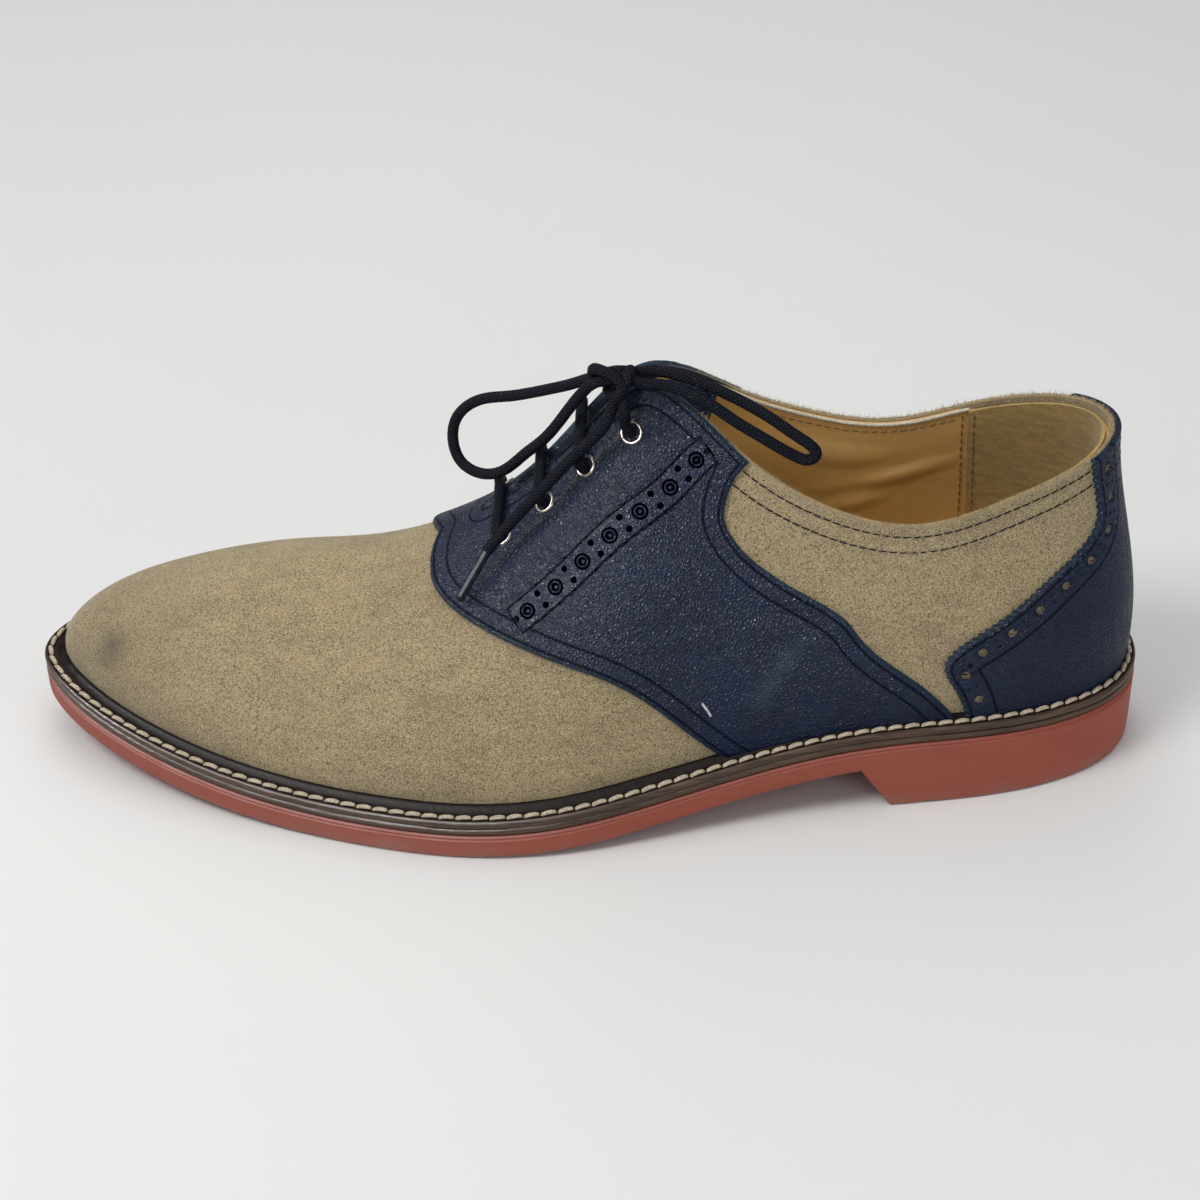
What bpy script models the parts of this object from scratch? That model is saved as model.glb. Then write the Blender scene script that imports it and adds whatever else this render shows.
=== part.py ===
"""Saddle shoe, left foot, standing on its sole. Metres, +Z up, toe towards -X, outer side towards -Y.

The form is worked out in shoe coordinates: along runs from the toe tip to the back of the heel, across
is negative on the outer side, and height is above the floor. A turn of 0 is the toe tip, 1 the back of
the heel by the outer side, and 2 the toe tip again by the inner side. A rise of 0 is the feather line,
where the upper meets the sole, and 1 is the upper's top edge.
"""

import math

import bmesh
import bpy
import numpy as np
from mathutils import Matrix, Vector

# Driving sizes
LENGTH = 0.306
BALL_WIDTH = 0.114
INSTEP_HEIGHT = 0.112
HEEL_HEIGHT = 0.0205
TOE_SPRING = 0.011

# Sole
SOLE_THICKNESS = 0.0075
SOLE_EDGE = 0.0007
HEEL_LENGTH = 0.0707
BREAST_SLANT = 0.0083
MIDSOLE_THICKNESS = 0.0020
WELT_THICKNESS = 0.0022
WELT_WIDTH = 0.0065
HEEL_WELT_WIDTH = 0.0048
LIP_HEIGHT = 0.0008
LIP_WIDTH = 0.0015
INSOLE_THICKNESS = 0.0030

# Upper
WALL = 0.0022
OVERLAY_THICKNESS = 0.0012
TONGUE_THICKNESS = 0.0020
TONGUE_REACH = 0.015
TONGUE_SIDE_RISE = 0.70

# Fit between touching pieces
GAP = 0.0003
OVERLAY_LIFT = 0.0005
EYELET_SEAT = 0.0005
TONGUE_CLEARANCE = 0.0006
INSOLE_CLEARANCE = 0.0006

# Eyelets
EYELET_HOLE_RADIUS = 0.0022
EYELET_BARREL_WALL = 0.0003
EYELET_FLANGE_RADIUS = 0.0031
EYELET_FLANGE = 0.0005
HOLE_CLEARANCE = 0.0003
CUTTER_DEPTH = 0.0136

# Lace
LACE_DIAMETER = 0.0030
LACE_DIP = 0.0008
BAR_ARCH = 0.0003
BAR_THROAT_CLEARANCE = 0.0006
AGLET_DIAMETER = 0.0024
AGLET_LENGTH = 0.0145

# Knot: size along, across and up, then the depth, number and twist of the wraps that stand out of it
KNOT_SIZE = (0.0105, 0.0085, 0.0072)
WRAP_DEPTH = 0.07
WRAPS = 3
WRAP_TWIST = 6

# Sole outline: share of the length from the toe, outer and inner half widths as shares of the ball width
OUTLINE = (
    ("toe tip", 0.000, -0.085, 0.085),
    ("toe end", 0.012, 0.010, 0.190),
    ("toe corner", 0.045, 0.114, 0.290),
    ("toe box", 0.111, 0.246, 0.377),
    ("toes", 0.190, 0.355, 0.428),
    ("inner ball", 0.285, 0.447, 0.446),
    ("outer ball", 0.400, 0.512, 0.425),
    ("ball end", 0.490, 0.502, 0.380),
    ("front waist", 0.580, 0.445, 0.325),
    ("waist", 0.670, 0.388, 0.290),
    ("heel breast", 0.770, 0.347, 0.288),
    ("heel seat", 0.860, 0.315, 0.296),
    ("heel turn", 0.930, 0.255, 0.250),
    ("heel corner", 0.981, 0.150, 0.150),
    ("heel back", 1.000, 0.000, 0.000),
)

# Underside of the sole: share of the length, share of the toe spring, share of the heel's lift
PROFILE = (
    ("toe tip", 0.00, 1.00, 0.00),
    ("toe", 0.10, 0.50, 0.00),
    ("tread front", 0.20, 0.13, 0.00),
    ("ball front", 0.29, 0.00, 0.00),
    ("ball back", 0.38, 0.00, 0.00),
    ("tread back", 0.46, 0.00, 0.08),
    ("waist", 0.60, 0.00, 0.52),
    ("heel breast", 0.74, 0.00, 0.97),
    ("heel seat", 0.85, 0.00, 1.02),
    ("heel back", 1.00, 0.00, 1.00),
)

# Upper: share of the length at the feather line, then at the top edge its share of the length, height as
# a share of the instep height, half opening and centre as shares of the ball width. The last four shape
# the wall between: how far the low part leans out (of the ball width) and reaches up (of the wall's
# height), and how far the high part leans out (of the wall's run) and drops (of its height).
TOPLINE = (
    ("toe", 0.000, 0.125, 0.405, 0.000, 0.060, 0.020, 0.62, 0.66, 0.00),
    ("cap", 0.090, 0.170, 0.440, 0.000, 0.055, 0.030, 0.60, 0.60, 0.00),
    ("vamp", 0.230, 0.255, 0.480, 0.000, 0.045, 0.030, 0.55, 0.55, 0.00),
    ("ball", 0.345, 0.345, 0.522, 0.000, 0.040, 0.020, 0.52, 0.50, 0.00),
    ("throat", 0.415, 0.420, 0.628, 0.000, 0.030, 0.015, 0.48, 0.44, 0.00),
    ("facing", 0.490, 0.497, 0.835, 0.030, 0.025, 0.012, 0.45, 0.32, 0.12),
    ("facing top", 0.560, 0.563, 1.000, 0.045, 0.020, 0.010, 0.42, 0.22, 0.16),
    ("collar front", 0.630, 0.639, 0.872, 0.155, 0.012, 0.012, 0.40, 0.12, 0.22),
    ("quarter", 0.680, 0.690, 0.792, 0.205, 0.008, 0.015, 0.40, 0.08, 0.25),
    ("ankle", 0.760, 0.768, 0.737, 0.236, 0.000, 0.028, 0.40, 0.04, 0.30),
    ("heel side", 0.865, 0.855, 0.790, 0.225, 0.000, 0.035, 0.38, 0.03, 0.30),
    ("heel turn", 0.945, 0.922, 0.842, 0.158, 0.000, 0.035, 0.38, 0.03, 0.32),
    ("back", 1.000, 0.957, 0.866, 0.000, 0.000, 0.035, 0.38, 0.03, 0.32),
)
THROAT_FOOT = 0.415
RIDGE_BLEND = 0.03
LEAST_REACH = 0.02

# Shares of the length between which the welt narrows to its width at the heel
WELT_NARROWS = (0.50, 0.85)

# Tongue: where it starts and leaves the facings (shares of the length at the feather line), how much of
# the instep's climb its tip keeps, and its tip's rows: share of the reach, share of the width
TONGUE_START = 0.430
TONGUE_END = 0.562
TONGUE_TIP_CLIMB = 0.30
TONGUE_TIP = ((0.35, 0.90), (0.80, 0.78), (1.00, 0.62))

# Overlay edges: rise, then the share of the length at the feather line
SADDLE_FRONT = (
    ("welt", 0.00, 0.632),
    ("low", 0.15, 0.582),
    ("side", 0.27, 0.530),
    ("middle", 0.43, 0.461),
    ("high", 0.63, 0.394),
    ("shoulder", 0.81, 0.368),
    ("ridge", 1.00, 0.374),
)
SADDLE_BACK = (
    ("welt", 0.00, 0.830),
    ("low", 0.22, 0.789),
    ("side", 0.45, 0.733),
    ("middle", 0.58, 0.690),
    ("elbow", 0.65, 0.634),
    ("neck", 0.74, 0.617),
    ("top", 1.00, 0.634),
)
COUNTER_FRONT = (
    ("welt", 0.00, 0.836),
    ("foot", 0.17, 0.822),
    ("corner", 0.37, 0.821),
    ("side", 0.48, 0.868),
    ("middle", 0.60, 0.914),
    ("neck", 0.70, 0.955),
    ("waist", 0.80, 0.962),
    ("top", 1.00, 0.954),
)

# Eyelets: share of the length at the feather line, and rise
EYELETS = (
    ("bottom", 0.431, 0.815),
    ("second", 0.468, 0.835),
    ("third", 0.505, 0.835),
    ("top", 0.545, 0.830),
)

# Lace bar beyond its eyelet: rise over the eyelet's, and clearance over the facing
BAR_CLIMB = ((0.04, 0.0012), (0.10, 0.0008))

# Lace bow, placed by hand: along, across and height
LEFT_LOOP = (
    (0.1582, -0.0026, 0.1144),
    (0.1562, -0.0004, 0.1126),
    (0.1524, 0.0020, 0.1099),
    (0.1471, 0.0050, 0.1068),
    (0.1404, 0.0090, 0.1031),
    (0.1347, 0.0120, 0.1005),
    (0.1275, 0.0150, 0.0980),
    (0.1227, 0.0170, 0.0944),
    (0.1194, 0.0180, 0.0892),
    (0.1187, 0.0170, 0.0838),
    (0.1201, 0.0150, 0.0796),
    (0.1243, 0.0110, 0.0779),
    (0.1293, 0.0075, 0.0791),
    (0.1342, 0.0040, 0.0834),
    (0.1390, 0.0005, 0.0898),
    (0.1437, -0.0020, 0.0953),
    (0.1487, -0.0040, 0.1027),
    (0.1533, -0.0056, 0.1101),
    (0.1562, -0.0076, 0.1146),
)
RIGHT_LOOP = (
    (0.1684, -0.0048, 0.1166),
    (0.1722, -0.0042, 0.1168),
    (0.1769, -0.0050, 0.1163),
    (0.1845, -0.0070, 0.1147),
    (0.1908, -0.0090, 0.1125),
    (0.1971, -0.0110, 0.1098),
    (0.2034, -0.0130, 0.1064),
    (0.2097, -0.0150, 0.1024),
    (0.2133, -0.0160, 0.0993),
    (0.2123, -0.0165, 0.0970),
    (0.2059, -0.0160, 0.0992),
    (0.1995, -0.0150, 0.1032),
    (0.1931, -0.0140, 0.1072),
    (0.1868, -0.0125, 0.1114),
    (0.1805, -0.0110, 0.1142),
    (0.1752, -0.0095, 0.1155),
    (0.1720, -0.0098, 0.1160),
    (0.1690, -0.0097, 0.1163),
)
FREE_END = (
    (0.1624, -0.0117, 0.1121),
    (0.1612, -0.0120, 0.1080),
    (0.1596, -0.0124, 0.1050),
    (0.1561, -0.0130, 0.1014),
    (0.1496, -0.0140, 0.0949),
    (0.1429, -0.0155, 0.0878),
    (0.1370, -0.0170, 0.0818),
    (0.1330, -0.0180, 0.0773),
    (0.1289, -0.0195, 0.0727),
)
AGLET_END = (0.1218, -0.0250, 0.0624)
KNOT_CENTRE = (0.1628, -0.0074, 0.1168)

# Mesh density
HALF_STATIONS = 44
HALF_COLUMNS = 41
UPPER_ROWS = 11
ROUND_STEPS = 12
END_CROWDING = 0.45
BREAST_SPACING = 0.01
CORD_SPACING = 2.2
LEAST_CORD_POINTS = 6
CORD_BEVEL = 2
LACE_BAR_POINTS = 15
KNOT_SEGMENTS = 16
KNOT_RINGS = 9
LOW_RISES = np.linspace(0, 0.4, 81)
NORMAL_STEP = 0.002
SLOPE_STEP = 1e-3
SHARP_ANGLE = 40
MERGE = 1e-5

OUTER, INNER = -1, 1

HEEL_LIFT = HEEL_HEIGHT - SOLE_THICKNESS
FEATHER_HEIGHT = SOLE_THICKNESS + GAP + MIDSOLE_THICKNESS + GAP

# Colour, roughness and metallic value of each sub-part
MATERIALS = {
    "outsole": ((0.36, 0.075, 0.045), 0.75, 0.0),
    "midsole": ((0.055, 0.030, 0.016), 0.55, 0.0),
    "welt": ((0.020, 0.010, 0.008), 0.35, 0.0),
    "insole": ((0.42, 0.26, 0.11), 0.60, 0.0),
    "upper": ((0.34, 0.27, 0.17), 0.95, 0.0),
    "overlay": ((0.014, 0.022, 0.062), 0.42, 0.0),
    "tongue": ((0.012, 0.024, 0.055), 0.50, 0.0),
    "eyelet": ((0.45, 0.42, 0.38), 0.30, 1.0),
    "lace": ((0.010, 0.012, 0.024), 0.60, 0.0),
    "aglet": ((0.015, 0.017, 0.030), 0.35, 0.0),
}


def spline_through(knots, values, period=None):
    """A function that runs smoothly through the values: a natural cubic, or a closed one with a period."""
    knots = np.asarray(knots, float)
    values = np.asarray(values, float)
    count = len(knots)
    if period is not None:
        knots = np.append(knots, knots[0] + period)
        values = np.concatenate([values, values[:1]])
    steps = np.diff(knots)
    slopes = np.diff(values, axis=0) / steps.reshape(-1, *([1] * (values.ndim - 1)))
    system = np.eye(count)
    bends = np.zeros((count,) + values.shape[1:])
    inner = range(count) if period is not None else range(1, count - 1)
    for i in inner:
        before = (i - 1) % count
        after = (i + 1) % count
        system[i] = 0.0
        system[i, before] += steps[before]
        system[i, i] += 2 * (steps[before] + steps[i])
        system[i, after] += steps[i]
        bends[i] = 6 * (slopes[i] - slopes[before])
    bends = np.linalg.solve(system, bends)
    if period is not None:
        bends = np.concatenate([bends, bends[:1]])

    def at(place):
        place = np.asarray(place, float)
        if period is not None:
            place = (place - knots[0]) % period + knots[0]
        i = np.clip(np.searchsorted(knots, place, side="right") - 1, 0, len(knots) - 2)
        shape = place.shape + (1,) * (values.ndim - 1)
        step = steps[i].reshape(shape)
        share = ((place - knots[i]) / steps[i]).reshape(shape)
        rest = 1 - share
        bend = (rest**3 - rest) * bends[i] + (share**3 - share) * bends[i + 1]
        return rest * values[i] + share * values[i + 1] + step**2 / 6 * bend

    return at


def closed_outline():
    """The sole's edge as one closed curve over turn, from the rows of OUTLINE."""
    rows = [(a * LENGTH, -o * BALL_WIDTH, i * BALL_WIDTH) for _, a, o, i in OUTLINE]
    runs = [0.0]
    for (a0, o0, i0), (a1, o1, i1) in zip(rows, rows[1:]):
        step = math.hypot(a1 - a0, o1 - o0) + math.hypot(a1 - a0, i1 - i0)
        runs.append(runs[-1] + step / 2)
    knots = [run / runs[-1] for run in runs]
    points = [(a, o) for a, o, _ in rows] + [(a, i) for a, _, i in rows[-2:0:-1]]
    return spline_through(knots + [2 - k for k in knots[-2:0:-1]], points, 2.0)


OUTLINE_AT = closed_outline()
PROFILE_AT = spline_through(
    [row[1] for row in PROFILE],
    [row[2] * TOE_SPRING + row[3] * HEEL_LIFT for row in PROFILE],
)
FINE_TURNS = np.linspace(0, 1, 2001)
FINE_ALONG = OUTLINE_AT(FINE_TURNS)[:, 0] / LENGTH
FINE_EDGE = OUTLINE_AT(np.linspace(0, 2, 4001))[:, 1]
CENTRE = Vector((LENGTH / 2, (FINE_EDGE.max() + FINE_EDGE.min()) / 2, 0.0))


def other_side(turn):
    """The turn of the same place on the other side of the shoe."""
    return 2 - turn


def turn_at(foot):
    """The turn on the outer side where the sole's edge is at this share of the length."""
    return np.interp(foot, FINE_ALONG, FINE_TURNS)


TOP_AT = spline_through([float(turn_at(row[1])) for row in TOPLINE], [row[2:] for row in TOPLINE])


def underside(along):
    """Height of the sole's underside, not counting the heel block."""
    return np.maximum(PROFILE_AT(np.asarray(along, float) / LENGTH), 0.0)


def outline(turn, inset):
    """Points of the sole's edge moved inwards by inset, and the outward directions there."""
    turn = np.asarray(turn, float)
    small = 1e-4
    points = OUTLINE_AT(turn)
    tangent = OUTLINE_AT(turn + small) - OUTLINE_AT(turn - small)
    out = np.stack([tangent[..., 1], -tangent[..., 0]], -1)
    out /= np.linalg.norm(out, axis=-1, keepdims=True)
    return points - out * np.asarray(inset, float)[..., None], out


def smooth_share(value, start, end):
    share = np.clip((value - start) / (end - start), 0, 1)
    return share * share * (3 - 2 * share)


def welt_width(turn):
    """Width of the welt's shelf: wide round the forefoot, narrower at the heel."""
    share = smooth_share(OUTLINE_AT(turn)[..., 0] / LENGTH, *WELT_NARROWS)
    return WELT_WIDTH + (HEEL_WELT_WIDTH - WELT_WIDTH) * share


def upper_point(turn, rise):
    """Points of the upper's outer face: a cubic from the feather line up to the top edge."""
    turn, rise = np.broadcast_arrays(np.asarray(turn, float), np.asarray(rise, float))
    half = np.where(turn <= 1, turn, other_side(turn))
    side = np.where(turn <= 1, OUTER, INNER)
    edge, out = outline(turn, welt_width(turn))
    row = TOP_AT(half)
    closed = half <= float(turn_at(THROAT_FOOT)) + 1e-9
    opening = np.where(closed, 0.0, np.maximum(row[..., 2], 0.0) * BALL_WIDTH)
    foot = np.stack([edge[..., 0], edge[..., 1], underside(edge[..., 0]) + FEATHER_HEIGHT], -1)
    top = np.stack(
        [row[..., 0] * LENGTH, row[..., 3] * BALL_WIDTH + side * opening, row[..., 1] * INSTEP_HEIGHT], -1
    )
    height = top[..., 2] - foot[..., 2]
    low = foot.copy()
    low[..., :2] += out * (row[..., 4] * BALL_WIDTH)[..., None]
    low[..., 2] += row[..., 5] * height
    run = foot - top
    run[..., 2] = 0.0
    reach = np.linalg.norm(run, axis=-1)
    before, after = TOP_AT(np.clip(half - SLOPE_STEP, 0, 1)), TOP_AT(np.clip(half + SLOPE_STEP, 0, 1))
    climb = (after[..., 1] - before[..., 1]) * INSTEP_HEIGHT
    slope = climb / np.maximum((after[..., 0] - before[..., 0]) * LENGTH, 1e-6)
    on_ridge = np.clip(1 - opening / (RIDGE_BLEND * BALL_WIDTH), 0, 1)
    heading = run / np.maximum(reach, 1e-9)[..., None]
    high = top + heading * (row[..., 6] * np.maximum(reach, LEAST_REACH))[..., None]
    high[..., 2] += heading[..., 0] * row[..., 6] * reach * slope * on_ridge - row[..., 7] * height
    s = rise[..., None]
    return (1 - s) ** 3 * foot + 3 * (1 - s) ** 2 * s * low + 3 * (1 - s) * s**2 * high + s**3 * top


def upper_normal(turn, rise):
    """Outward directions of the upper's outer face."""
    turn, rise = np.broadcast_arrays(np.asarray(turn, float), np.asarray(rise, float))
    ahead = upper_point(turn + NORMAL_STEP, rise) - upper_point(turn - NORMAL_STEP, rise)
    top = np.minimum(rise + NORMAL_STEP, 1.0)
    upward = upper_point(turn, top) - upper_point(turn, np.maximum(rise - NORMAL_STEP, 0.0))
    normal = np.cross(ahead, upward)
    return normal / np.linalg.norm(normal, axis=-1, keepdims=True)


def edge_foot(table, rise):
    """An overlay's edge: the share of the length at each rise."""
    return spline_through([row[1] for row in table], [row[2] for row in table])(rise)


def clear_scene():
    for item in list(bpy.data.objects):
        bpy.data.objects.remove(item, do_unlink=True)


def make_collection(name):
    collection = bpy.data.collections.new(name)
    bpy.context.scene.collection.children.link(collection)
    return collection


def make_material(name):
    colour, roughness, metallic = MATERIALS[name]
    material = bpy.data.materials.new(name)
    material.use_nodes = True
    shader = material.node_tree.nodes["Principled BSDF"]
    shader.inputs["Base Color"].default_value = (*colour, 1.0)
    shader.inputs["Roughness"].default_value = roughness
    shader.inputs["Metallic"].default_value = metallic
    material.diffuse_color = (*colour, 1.0)
    return material


def add_object(name, mesh_or_curve, material, collection):
    made = bpy.data.objects.new(name, mesh_or_curve)
    made.data.materials.append(make_material(material))
    collection.objects.link(made)
    return made


def finish_mesh(name, shape, smooth=True):
    """A mesh from a bmesh, with doubles merged, faces outward and round parts shaded smooth."""
    bmesh.ops.remove_doubles(shape, verts=shape.verts, dist=MERGE)
    bmesh.ops.recalc_face_normals(shape, faces=shape.faces)
    mesh = bpy.data.meshes.new(name)
    shape.to_mesh(mesh)
    shape.free()
    if smooth:
        mesh.shade_smooth()
        mesh.set_sharp_from_angle(angle=math.radians(SHARP_ANGLE))
    return mesh


def loft(name, rings, close_rings=True, close_loft=False):
    """A mesh lofted through rings of equally many points."""
    shape = bmesh.new()
    rows = [[shape.verts.new(Vector(point) - CENTRE) for point in ring] for ring in rings]
    around = len(rows[0])
    pairs = list(zip(rows, rows[1:]))
    if close_loft:
        pairs.append((rows[-1], rows[0]))
    for near, far in pairs:
        for i in range(around if close_rings else around - 1):
            j = (i + 1) % around
            shape.faces.new((near[i], near[j], far[j], far[i]))
    return finish_mesh(name, shape)


def crowded(count):
    """Shares from 0 to 1, closer together near both ends, where the outline turns most."""
    even = np.linspace(0, 1, count)
    return even - END_CROWDING * np.sin(2 * np.pi * even) / (2 * np.pi)


def slab_rings(turns, levels):
    """Rings across the sole: each level is (inset, height function), listed from bottom to top."""
    rings = []
    for turn in turns:
        outer, inner = [], []
        for inset, height in levels:
            for place, points in ((turn, outer), (other_side(turn), inner)):
                edge = outline(place, inset(place))[0]
                points.append((edge[0], edge[1], float(height(edge[0]))))
        rings.append(outer + inner[::-1])
    return rings


def make_outsole(collection):
    """The sole's slab with the heel block below it, and a breast that slants forwards."""
    breast_foot = 1 - HEEL_LENGTH / LENGTH
    breast_top = breast_foot - BREAST_SLANT / LENGTH
    turns = crowded(HALF_STATIONS)
    slanted = [float(turn_at(breast_top)), float(turn_at(breast_foot))]
    ahead = [t for t in turns if t < slanted[0] - BREAST_SPACING] + [slanted[0]]
    behind = [slanted[1]] + [t for t in turns if t > slanted[1] + BREAST_SPACING]

    def top(along):
        return underside(along) + SOLE_THICKNESS

    def levels(bottom):
        return (
            (lambda turn: SOLE_EDGE, bottom),
            (lambda turn: 0.0, lambda along: bottom(along) + SOLE_EDGE),
            (lambda turn: 0.0, top),
        )

    rings = slab_rings(ahead, levels(underside)) + slab_rings(behind, levels(lambda along: 0.0))
    add_object("outsole", loft("outsole", rings), "outsole", collection)


def make_slab(name, material, inset, low, thickness, collection):
    """An even layer over the whole sole, its edge set in by inset."""
    levels = (
        (inset, lambda along: underside(along) + low),
        (inset, lambda along: underside(along) + low + thickness),
    )
    mesh = loft(name, slab_rings(crowded(HALF_STATIONS), levels))
    add_object(name, mesh, material, collection)


def make_midsole(collection):
    make_slab("midsole", "midsole", lambda turn: GAP, SOLE_THICKNESS + GAP, MIDSOLE_THICKNESS, collection)


def make_insole(collection):
    def inset(turn):
        return float(welt_width(turn)) + WALL + INSOLE_CLEARANCE

    make_slab("insole", "insole", inset, FEATHER_HEIGHT, INSOLE_THICKNESS, collection)


def height_above_feather(turn, rises):
    points = upper_point(turn, rises)
    return points[..., 2] - points[..., :1, 2]


def lean_at_welt(turn):
    """How far the upper leans out over the feather line beside the welt and its lip."""
    edge, out = outline(turn, welt_width(turn))
    beside = height_above_feather(turn, LOW_RISES) <= WELT_THICKNESS + LIP_HEIGHT + GAP
    lean = (upper_point(turn, LOW_RISES)[..., :2] - edge) @ out
    return max(float(lean[beside].max()), 0.0)


def rise_over_welt(turn):
    """The rise at which an overlay starts, just clear of the welt's lip."""
    heights = height_above_feather(turn, LOW_RISES)
    return float(np.interp(WELT_THICKNESS + LIP_HEIGHT + 2 * GAP, heights, LOW_RISES))


def make_welt(collection):
    """The strip round the upper, with a lip raised against it."""
    half = crowded(HALF_STATIONS)
    turns = np.concatenate([half, other_side(half[-2:0:-1])])
    rings = []
    for turn in turns:
        width = float(welt_width(turn)) - GAP - lean_at_welt(turn)
        profile = (
            (GAP, 0.0),
            (GAP, WELT_THICKNESS),
            (width - LIP_WIDTH, WELT_THICKNESS),
            (width - LIP_WIDTH / 2, WELT_THICKNESS + LIP_HEIGHT),
            (width, WELT_THICKNESS + LIP_HEIGHT),
            (width, 0.0),
        )
        ring = []
        for inset, height in profile:
            edge = outline(turn, inset)[0]
            ring.append((edge[0], edge[1], float(underside(edge[0])) + FEATHER_HEIGHT + height))
        rings.append(ring)
    add_object("welt", loft("welt", rings, close_loft=True), "welt", collection)


def sheet(name, turns, rises):
    """An open surface on the upper's outer face, from grids of turn and rise, split the same way each time."""
    mesh = loft(name, upper_point(turns, rises), close_rings=False)
    shape = bmesh.new()
    shape.from_mesh(mesh)
    bmesh.ops.triangulate(shape, faces=shape.faces, quad_method="FIXED")
    shape.to_mesh(mesh)
    shape.free()
    if mesh_faces_inwards(mesh, turns, rises):
        mesh.flip_normals()
    return mesh


def mesh_faces_inwards(mesh, turns, rises):
    """Whether the sheet's faces point to the shoe's inside, judged on its first face."""
    face = mesh.polygons[0]
    outward = upper_normal(turns[0, 0], rises[0, 0])
    return Vector(face.normal).dot(Vector(outward)) < 0


def add_shell(made, lift, thickness, offset):
    """A wall on an open surface: lifted off it, then given its thickness."""
    if lift:
        raise_off = made.modifiers.new("Lift", "DISPLACE")
        raise_off.mid_level = 0.0
        raise_off.strength = lift
    wall = made.modifiers.new("Wall", "SOLIDIFY")
    wall.thickness = thickness
    wall.offset = offset
    wall.use_quality_normals = True


def cut_holes(made, cutter):
    cut = made.modifiers.new("Eyelet holes", "BOOLEAN")
    cut.operation = "DIFFERENCE"
    cut.object = cutter


def upper_columns():
    """Turns of the upper's columns on one side, with one column exactly at the throat."""
    turns = crowded(HALF_COLUMNS)
    throat = float(turn_at(THROAT_FOOT))
    turns[np.argmin(np.abs(turns - throat))] = throat
    return turns


def upper_turns():
    """All the upper's columns, round the outer side and back along the inner side."""
    half = upper_columns()
    return np.concatenate([half, other_side(half[-2::-1])])


def make_upper(cutter, collection):
    """The hollow upper: vamp, quarters and back in one wall, open at the throat, collar and underneath."""
    turns = upper_turns()
    rises = np.linspace(0, 1, UPPER_ROWS)
    grid_turns, grid_rises = np.meshgrid(turns, rises, indexing="ij")
    made = add_object("upper", sheet("upper", grid_turns, grid_rises), "upper", collection)
    add_shell(made, 0.0, WALL, -1.0)
    cut_holes(made, cutter)


def overlay_grid(start, end):
    """Turns and rises of an overlay on the upper's own grid, its columns held between two edges."""
    rows = np.linspace(0, 1, UPPER_ROWS)
    columns = upper_turns()
    inside = (columns >= start(rows).min()) & (columns <= end(rows).max())
    columns = np.concatenate([[start(rows).min()], columns[inside], [end(rows).max()]])
    rises = np.repeat(rows[None, :], len(columns), axis=0)
    for _ in range(2):
        turns = np.clip(columns[:, None], start(rises), end(rises))
        rises[:, 0] = [rise_over_welt(turn) for turn in turns[:, 0]]
    return turns, rises


def edge_turn(table):
    """An overlay's edge as the turn at each rise."""
    return lambda rises: turn_at(edge_foot(table, rises))


def make_saddle(cutter, collection):
    """The saddle: over the ridge in front of the throat, and down both sides to the welt."""
    front, back = edge_turn(SADDLE_FRONT), edge_turn(SADDLE_BACK)
    turns, rises = overlay_grid(front, back)
    shape = bmesh.new()
    for side_turns in (turns, other_side(turns)):
        half = sheet("saddle half", side_turns, rises)
        shape.from_mesh(half)
        bpy.data.meshes.remove(half)
    made = add_object("saddle", finish_open(shape, "saddle"), "overlay", collection)
    add_shell(made, OVERLAY_LIFT, OVERLAY_THICKNESS, 1.0)
    cut_holes(made, cutter)


def finish_open(shape, name):
    """A mesh from an open sheet whose halves meet on the ridge, faces kept as they point."""
    bmesh.ops.remove_doubles(shape, verts=shape.verts, dist=MERGE)
    mesh = bpy.data.meshes.new(name)
    shape.to_mesh(mesh)
    shape.free()
    mesh.shade_smooth()
    return mesh


def make_counter(collection):
    """The counter round the back of the heel, from the welt to the top edge."""
    front = edge_turn(COUNTER_FRONT)
    turns, rises = overlay_grid(front, lambda rise: other_side(front(rise)))
    made = add_object("counter", sheet("counter", turns, rises), "overlay", collection)
    add_shell(made, OVERLAY_LIFT, OVERLAY_THICKNESS, 1.0)


def tongue_section(turn):
    """Points across the tongue under the facings, on the rows of the upper's grid."""
    rows = np.linspace(0, 1, UPPER_ROWS)
    rises = rows[rows >= TONGUE_SIDE_RISE - 1e-9]
    depth = WALL + TONGUE_CLEARANCE
    outer = upper_point(turn, rises) - upper_normal(turn, rises) * depth
    inner = upper_point(other_side(turn), rises) - upper_normal(other_side(turn), rises) * depth
    return np.concatenate([outer, inner[::-1]])


def make_tongue(collection):
    """The tongue: under the facings, and a little way past their top."""
    columns = upper_columns()
    start, end = float(turn_at(TONGUE_START)), float(turn_at(TONGUE_END))
    rings = [tongue_section(turn) for turn in columns[(columns > start) & (columns < end)]]
    rings.append(tongue_section(end))
    heading = (rings[-1] - rings[-3]).mean(axis=0)
    heading[2] *= TONGUE_TIP_CLIMB
    heading /= np.linalg.norm(heading)
    last = rings[-1]
    middle = last.mean(axis=0)
    for share, narrow in TONGUE_TIP:
        ring = middle + (last - middle) * np.array([1.0, narrow, narrow])
        rings.append(ring + heading * TONGUE_REACH * share)
    mesh = loft("tongue", rings, close_rings=False)
    if mesh.polygons[len(mesh.polygons) // 2].normal.z < 0:
        mesh.flip_normals()
    made = add_object("tongue", mesh, "tongue", collection)
    add_shell(made, 0.0, TONGUE_THICKNESS, -1.0)


def eyelet_frame(foot, rise, side):
    """Place of an eyelet on the upper's face: its centre and outward direction."""
    turn = float(turn_at(foot))
    turn = turn if side == OUTER else other_side(turn)
    return Vector(upper_point(turn, rise)) - CENTRE, Vector(upper_normal(turn, rise))


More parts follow.
